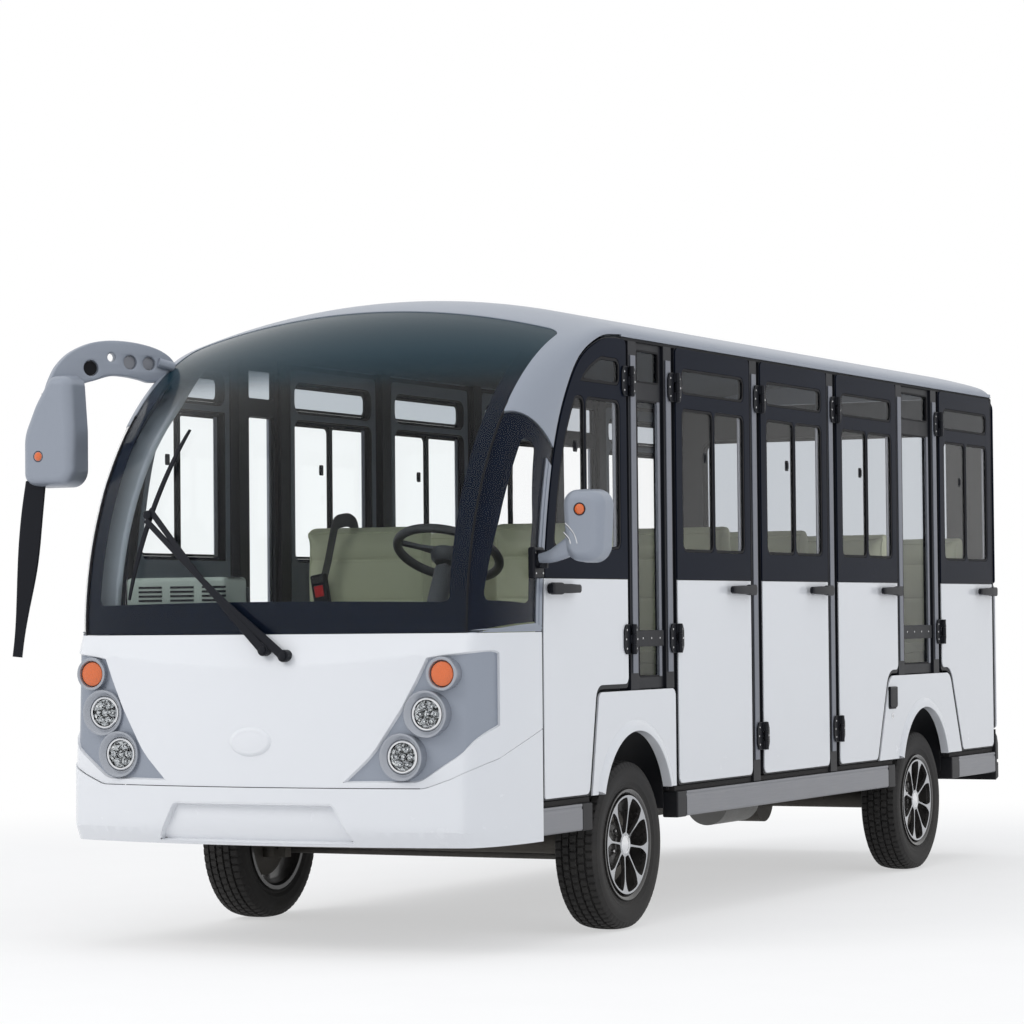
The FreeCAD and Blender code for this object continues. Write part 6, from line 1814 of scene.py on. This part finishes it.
# ---------------------------------------------------------------- cabin
def nose_inner(x):
    """Y of the dashboard's front edge, clear of lamps and windscreen."""
    sag = DOME_ARC - math.sqrt(DOME_ARC ** 2 - x ** 2)
    return max(DOME_Y - DOME_RADIUS - 0.040 + sag + 0.079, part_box("dashboard")[0].y + 0.001)


def build_dashboard():
    near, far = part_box("dashboard")[0].y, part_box("dashboard")[1].y
    loops = []
    for x in [-0.599 + 1.198 * k / 60 for k in range(61)]:
        front = nose_inner(x)
        hood = math.exp(-((x - 0.33) / 0.17) ** 4)
        centre = math.exp(-((x + 0.02) / 0.13) ** 4)
        drop = 0.012 * smooth_step(abs(x), 0.57, 0.599)
        profile = [(front, 0.900), (front, 0.972 - drop), (front + 0.012, 0.994 - drop), (front + 0.045, 1.008 - drop),
                   (front + 0.110, 1.014 + 0.020 * hood - drop), (-2.085, 1.016 + 0.021 * hood - drop),
                   (-2.052, 1.012 + 0.020 * hood - drop), (-2.042, 0.998 + 0.012 * hood - drop),
                   (-2.050 - 0.014 * hood, 0.985), (-2.046 - 0.020 * hood - 0.004 * centre, 0.930),
                   (-2.020 - 0.008 * hood, 0.905), (-2.004, 0.888), (-1.999, 0.850), (-2.000, 0.800),
                   (-2.012, 0.768), (-2.040, 0.748), (front + 0.080, 0.744), (front + 0.020, 0.790)]
        loops.append([(x, min(y, far - 0.003), z) for y, z in profile])
    parts = [(skin(loops), DASH)]
    # raised box in front of the passenger
    y = (near + 0.084, near + 0.226)
    parts.append((block((-0.559, -0.201), y, (1.000, 1.1365), 0.014, 4), RAISED))
    for low in [-0.510 + 0.115 * k for k in range(3)]:
        x, centre = (low, low + 0.085), low + 0.042
        parts.append((block(x, (y[0] + 0.030, y[1] - 0.030), (1.1355, 1.1375), 0.0008), DASH))
        parts.append((block(x, (y[1] - 0.002, y[1] + 0.004), (1.060, 1.105), 0.003, 3), DASH))
        parts.append((rod((centre, y[1] + 0.002, 1.040), (centre, y[1] + 0.012, 1.040), 0.011, 0.002), PLASTIC))
        for z in [1.062 + 0.0135 * level for level in range(4)]:
            parts.append((block(x, (y[0] - 0.0025, y[0] + 0.002), (z, z + 0.0070), 0.001), PLASTIC))
    parts.append((block((-0.540, 0.540), (near + 0.073, near + 0.093), (DOOR_BOTTOM + 0.0005, 0.758), 0.004), DASH))
    # dials, blank screen, vents, switches and glove box on the face towards the driver
    radius, dial_y, dial_z = 0.040, -2.058, 0.955
    bezel = [(0, radius + 0.004), (0.006, radius + 0.004), (0.008, radius + 0.001), (0.004, radius - 0.002),
             (0.002, radius - 0.003), (0.002, 0)]
    tick = block((-0.0006, 0.0006), (0.0, 0.0006), (radius - 0.010, radius - 0.005), 0)
    needle = block((-0.0010, 0.0010), (0.0008, 0.0020), (-0.006, radius - 0.012), 0.0003)
    for x in (0.285, 0.375):
        def on_dial(mesh, proud, angle):
            return moved(mesh, Matrix.Translation((x, dial_y - proud, dial_z)) @ Matrix.Rotation(angle, 4, "Y"))

        parts.append((spun(bezel, (x, dial_y - 0.004, dial_z), (0, 1, 0), 40), HUB_GREY))
        parts += [(on_dial(tick, 0.0018, math.radians(24 * k - 120)), SCREW) for k in range(11)]
        parts.append((on_dial(needle, 0.0012, -0.9), RED_PLASTIC))
    parts.append((on_back(rectangle((-0.105, 0.065), (0.923, 0.987), 0.006), (), -2.051, -2.046, 0.001), FRIT))
    for x in (-0.50, -0.26, 0.50):
        for z in [0.936 + 0.0095 * k for k in range(5)]:
            parts.append((block((x - 0.042, x + 0.042), (-2.054, -2.043), (z, z + 0.0040), 0.0008), PLASTIC))
    for x in [-0.065 + 0.034 * k for k in range(6)]:
        parts.append((block((x - 0.013, x + 0.013), (-2.004, -1.9965), (0.838, 0.862)), PLASTIC))
    parts.append((on_back(rectangle((0.20, 0.48), (0.785, 0.880), 0.012), (), -2.001, -1.9965), DASH))
    parts.append((block((0.286, 0.374), (-2.014, far - 0.001), (0.792, 0.878), 0.006, 3), DASH))
    piece("dash_top", parts, stands_for=["dashboard"], smooth=40)


def build_steering():
    hub, tilt = Vector((0.330, DOOR_LINE + 0.194, 1.205)), math.radians(28)
    down = Vector((0, -math.sin(tilt), -math.cos(tilt)))
    at = Matrix.Translation(hub) @ Matrix.Rotation(-tilt, 4, "X")
    ring = [Vector((x, y, 0)) for x, y in circle(0, 0, 0.164, 72)]
    parts = [(moved(tube(ring, circle(0, 0, 0.0145, 14), True), at), WHEEL_GRIP)]
    spoke = rounded([(-0.024, 0.030), (0.024, 0.030), (0.011, 0.090), (0.012, 0.158), (-0.012, 0.158),
                     (-0.011, 0.090)], [0.004, 0.004, 0.06, 0.003, 0.003, 0.06], 5)
    line = rectangle((-0.004, 0.004), (0.075, 0.128), 0.0035, 4)
    for turn in [at @ Matrix.Rotation(math.radians(degrees), 4, "Z") for degrees in (0, 120, 240)]:
        parts.append((moved(plate(spoke, (), -0.0058, 0.0056, 0.002), turn), HUB_GREY))
        parts.append((moved(plate(line, (), 0.0050, 0.0060, 0.0003), turn), PLASTIC))
    cap = [(-0.008, 0.0), (-0.008, 0.030), (-0.0066, 0.044), (-0.001, 0.0535), (0.009, 0.0560), (0.026, 0.050),
           (0.038, 0.036), (0.038, 0.0)]
    badge = [(-0.0082, 0.0), (-0.0082, 0.016), (-0.0070, 0.0175), (-0.0060, 0.0175)]
    parts += [(spun(cap, hub, down, 48), HUB_GREY), (spun(badge, hub, down), PLASTIC),
              (rod(hub + down * 0.034, hub + down * 0.118, 0.0105, 0.001, 20), STEEL)]
    piece("wheel_of_steering", parts, body="steering_wheel", stands_for=["steering_wheel"],
          smooth=40)
    shroud = [(0.050, 0.0122), (0.050, 0.026), (0.054, 0.0305), (0.066, 0.0318), (0.200, 0.0318), (0.206, 0.0295),
              (0.214, 0.0295), (0.220, 0.0318), (0.4690, 0.0318), (0.4695, 0.0), (0.132, 0.0), (0.132, 0.0122)]
    piece("column_shroud", [(spun(shroud, hub, down, 40), DASH)],
          stands_for=["steering_column"], smooth=40)


# ---------------------------------------------------------------- seats
def grid_lines(low, high, step, marks):
    """Coordinates about a step apart, with close pairs round each seam mark."""
    lines = {low, high}
    count = max(2, round((high - low) / step))
    for k in range(1, count):
        value = low + (high - low) * k / count
        if all(abs(value - m) > 0.016 for m in marks):
            lines.add(value)
    for m in marks:
        lines |= {m - 0.010, m - 0.0045, m, m + 0.0045, m + 0.010}
    return sorted(lines)


def pad_shell(size, radius, step, marks=((), (), ())):
    """Rounded box centred on the origin from lines along each axis."""
    half = [s / 2 for s in size]
    lines = [grid_lines(-half[i], half[i], step, marks[i]) for i in range(3)]
    bm = bmesh.new()
    cache = {}

    def vertex(point):
        key = tuple(round(c, 6) for c in point)
        if key not in cache:
            inner = [max(-half[i] + radius, min(half[i] - radius, point[i])) for i in range(3)]
            away = Vector(point) - Vector(inner)
            place = Vector(inner) + away.normalized() * radius if away.length > 1e-9 else Vector(point)
            cache[key] = bm.verts.new(place)
        return cache[key]

    for axis in range(3):
        u, v = (axis + 1) % 3, (axis + 2) % 3
        for side in (-half[axis], half[axis]):
            for a, b in zip(lines[u], lines[u][1:]):
                for c, d in zip(lines[v], lines[v][1:]):
                    corners = []
                    for p, q in ((a, c), (b, c), (b, d), (a, d)):
                        point = [0.0, 0.0, 0.0]
                        point[axis], point[u], point[v] = side, p, q
                        corners.append(vertex(point))
                    if len(set(corners)) >= 3:
                        try:
                            bm.faces.new(corners if side > 0 else corners[::-1])
                        except ValueError:      # the same face from a neighbouring side
                            pass
    mesh = bpy.data.meshes.new("pad")
    bm.normal_update()
    bm.to_mesh(mesh)
    bm.free()
    return mesh


def swell(mesh, pinned, pressure=4.0, cap=0.026, frames=20):
    """Cloth swelling of a pad: (start, move) for each vertex of a fine copy."""
    fine = modified(mesh, "REMESH", mode="VOXEL", voxel_size=0.006)
    obj = bpy.data.objects.new("swell", fine)
    SCENE.collection.objects.link(obj)
    start = [v.co.copy() for v in fine.vertices]
    group = obj.vertex_groups.new(name="held")
    group.add([i for i, p in enumerate(start) if pinned(p)], 1.0, "REPLACE")
    cloth = obj.modifiers.new("cloth", "CLOTH")
    settings = cloth.settings
    settings.use_pressure, settings.uniform_pressure_force = True, pressure
    settings.vertex_group_mass = "held"
    settings.quality = 4
    settings.effector_weights.gravity = 0.0
    cloth.point_cache.frame_start, cloth.point_cache.frame_end = 1, frames
    for frame_number in range(1, frames + 1):
        SCENE.frame_set(frame_number)
    result = bpy.data.meshes.new_from_object(obj.evaluated_get(bpy.context.evaluated_depsgraph_get()))
    moves = []
    for before, vertex in zip(start, result.vertices):
        move = vertex.co - before
        moves.append(move if move.length <= cap else move * (cap / move.length))
    bpy.data.objects.remove(obj)
    SCENE.frame_set(1)
    return start, moves


def swollen(mesh, pinned):
    """The pad moved as its fine copy swells."""
    start, moves = swell(mesh, pinned)
    tree = KDTree(len(start))
    for i, p in enumerate(start):
        tree.insert(p, i)
    tree.balance()
    for v in mesh.vertices:
        total, weight = Vector((0, 0, 0)), 0.0
        for _, index, distance in tree.find_n(v.co, 6):
            w = 1.0 / (distance + 0.002)
            total += moves[index] * w
            weight += w
        v.co = v.co + total / weight
    return mesh


def fit_inside(mesh, size):
    """Centre a pad and scale it down where it's larger than its own box."""
    for i in range(3):
        places = [v.co[i] for v in mesh.vertices]
        low, high = min(places), max(places)
        for v in mesh.vertices:
            v.co[i] = (v.co[i] - (low + high) / 2) * min(1.0, size[i] / (high - low))
    return mesh


def sewn(mesh, size, seams):
    """Press the seams in; seams are (axis, place, depth, (from, to) limits on the other axis)."""
    for v in mesh.vertices:
        if v.co.z <= size[2] * 0.05:
            continue
        for axis, place, depth, (other_low, other_high) in seams:
            other = v.co[1 - axis]
            if not other_low - 0.004 <= other <= other_high + 0.004:
                continue
            v.co.z -= depth * math.exp(-((v.co[axis] - place) / 0.0062) ** 2)
            v.co.z -= depth * 0.55 * math.exp(-((v.co[axis] - place) / 0.028) ** 2)
    return mesh


def pad_with_seams(size, seams, radius, held_below):
    """Swollen pad with its seams pressed in; its face is +Z."""
    marks = ([s[1] for s in seams if s[0] == 0], [s[1] for s in seams if s[0] == 1], ())
    start = tuple(s - 0.016 for s in size)
    mesh = pad_shell(start, radius, 0.026, marks)
    swollen(mesh, lambda p: p.z < -start[2] / 2 + held_below)
    fit_inside(mesh, tuple(s - 0.002 for s in size))
    return modified(sewn(mesh, size, seams), "SUBSURF", levels=1)


def stitches(mesh, seams):
    """Short thread stitches on both sides of each seam."""
    tree = BVHTree.FromPolygons([v.co for v in mesh.vertices], [list(p.vertices) for p in mesh.polygons])
    verts, faces = [], []
    for axis, place, _, (low, high) in seams:
        length, wide = Vector((0, 0, 0)), Vector((0, 0, 0))
        length[1 - axis], wide[axis] = 0.0034, 0.0008
        count = int((high - low) / 0.0115)
        for side in (-0.0085, 0.0085):
            for k in range(count):
                point = Vector((0, 0, 1.0))
                point[axis] = place + side
                point[1 - axis] = low + 0.006 + (high - low - 0.012) * k / max(1, count - 1)
                hit, normal, _, _ = tree.ray_cast(point, Vector((0, 0, -1)))
                if hit is None or normal.z < 0.5:
                    continue
                base = hit + normal * 0.0002
                first = len(verts)
                verts += [base - length - wide, base - length + wide, base + length + wide, base + length - wide]
                verts += [base - length * 0.7 + normal * 0.0008, base + length * 0.7 + normal * 0.0008]
                faces += [[first, first + 1, first + 4], [first + 1, first + 2, first + 5, first + 4],
                          [first + 2, first + 3, first + 5], [first + 3, first, first + 4, first + 5],
                          [first, first + 3, first + 2, first + 1]]
    return new_mesh(verts, faces)


def piping(mesh, size, inward, height_share):
    """Welt that follows the upper edge of a pad."""
    tree = BVHTree.FromPolygons([v.co for v in mesh.vertices], [list(p.vertices) for p in mesh.polygons])
    hx, hy = size[0] / 2 - inward, size[1] / 2 - inward
    path = [tree.find_nearest(Vector((x, y, size[2] / 2 * height_share)))[0]
            for x, y in divided(bar(hx, hy, 0.035, 6), 0.022)]
    return tube(path, circle(0, 0, 0.0036, 8), True)


def build_seats():
    depth, thickness = 0.430, 0.085
    rows = {1: DOOR_LINE + 0.440, 2: DOOR_START[2] + 0.245, 3: DOOR_START[3] + 0.245, 4: DOOR_START[4] + 0.380,
            5: REAR_WALL_Y - 0.024 - depth - thickness - 0.020}
    low, top, high = 0.780, 0.885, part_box("seat_backs")[1].z
    tall = high - low

    def pad(size, seams, radius, held_below, inward, height_share):
        mesh = pad_with_seams(size, seams, radius, held_below)
        return [(mesh, SEAT), (stitches(mesh, seams), THREAD), (piping(mesh, size, inward, height_share), SEAT)]

    kinds = {}
    for kind, width, marks in (("bench", 1.280, (-0.2133, 0.2133)), ("front", 0.500, ())):
        hx = width / 2
        seams = [(0, m, 0.0075, (-depth / 2 + 0.035, depth / 2 - 0.02)) for m in marks]
        seams += [(1, place, deep, (-hx + 0.040, hx - 0.040)) for place, deep in ((0.075, 0.0055), (-0.140, 0.0050))]
        cushion = pad((width, depth, top - low), seams, 0.030, 0.030, 0.012, 0.70)
        seams = [(0, m, 0.0065, (-tall / 2 + 0.03, tall / 2 - 0.035)) for m in marks]
        seams += [(1, place, deep, (-hx + 0.035, hx - 0.035))
                  for place, deep in ((tall / 2 - 0.125, 0.0060), (0.010, 0.0045))]
        kinds[kind] = cushion, pad((width, tall, thickness), seams, 0.028, 0.018, 0.010, 0.62)
    for row, front in rows.items():
        for letter, x in (("a", 0.360), ("b", -0.360)) if row == 1 else (("", 0.0),):
            cushion, back = kinds["front" if row == 1 else "bench"]
            at = (Matrix.Translation((x, front + depth / 2, (low + top) / 2 + 0.0002)),
                  Matrix.Translation((x, front + depth + 0.006 + thickness / 2, (low + high) / 2)) @ FRONT)
            for name, parts, matrix, node in (("cushion", cushion, at[0], "seat_cushions"),
                                              ("backrest", back, at[1], "seat_backs")):
                obj = piece("%s_row_%d%s" % (name, row, letter), [(moved(m, matrix), f) for m, f in parts],
                            stands_for=[node] if letter == "a" else (), smooth=60)


def build_belt():
    """Front passenger's belt, hung over the backrest, with its buckle and red button."""
    y = DOOR_LINE + 0.440 + 0.430 - 0.022
    web = [(-0.430, y + 0.115, 1.120), (-0.432, y + 0.124, 1.300), (-0.436, y + 0.098, 1.3385),
           (-0.440, y + 0.045, 1.3395), (-0.444, y + 0.006, 1.325), (-0.452, y - 0.006, 1.270),
           (-0.468, y - 0.006, 1.200), (-0.484, y - 0.008, 1.140)]
    parts = [(tube(smooth_line(web, 10), bar(0.0235, 0.0009), up=(1, 0, 0)), BELT_WEB)]
    lean = Matrix.Translation((-0.494, y - 0.012, 1.105)) @ Matrix.Rotation(math.radians(-10), 4, "Y")
    for half_width, depth, height, bevel, segments, finish in (
            (0.030, (-0.013, 0.013), (-0.052, 0.052), 0.008, 3, PLASTIC),
            (0.017, (-0.016, -0.012), (-0.026, 0.012), 0.0025, 3, RED_PLASTIC),
            (0.024, (-0.0155, -0.0125), (0.022, 0.044), 0.0015, 2, STEEL),
            (0.020, (-0.002, 0.002), (-0.225, -0.050), 0.0012, 2, BELT_WEB)):
        parts.append((moved(block((-half_width, half_width), depth, height, bevel, segments), lean), finish))
    piece("passenger_belt", parts, smooth=40)


def finish_kept_nodes():
    finishes = {"chassis_frame": STEEL, "front_axle": CAST, "rear_axle": CAST, "drive_motor": MOTOR,
                "battery_pack": STEEL, "floor_pan": FLOOR, "wheel_boxes": PLASTIC, "seat_frames": SEAT_STEEL,
                "knuckle_left": CAST, "knuckle_right": CAST, "tie_rod": STEEL}
    for node, finish in finishes.items():
        if not NODES[node].material_slots:
            NODES[node].data.materials.append(finish)
        for slot in NODES[node].material_slots:
            slot.material = finish


build_windscreen()
build_post_covers()
build_roof()
build_nose()
for number in range(1, 6):
    build_door(number)
build_sides()
build_arch_panels()
build_sills()
build_wells()
build_rear()
build_wheels()
build_flap()
build_left_mirror()
build_right_mirror()
build_wiper()
build_dashboard()
build_steering()
build_seats()
build_belt()
finish_kept_nodes()
SCENE.view_settings.view_transform = "Standard"
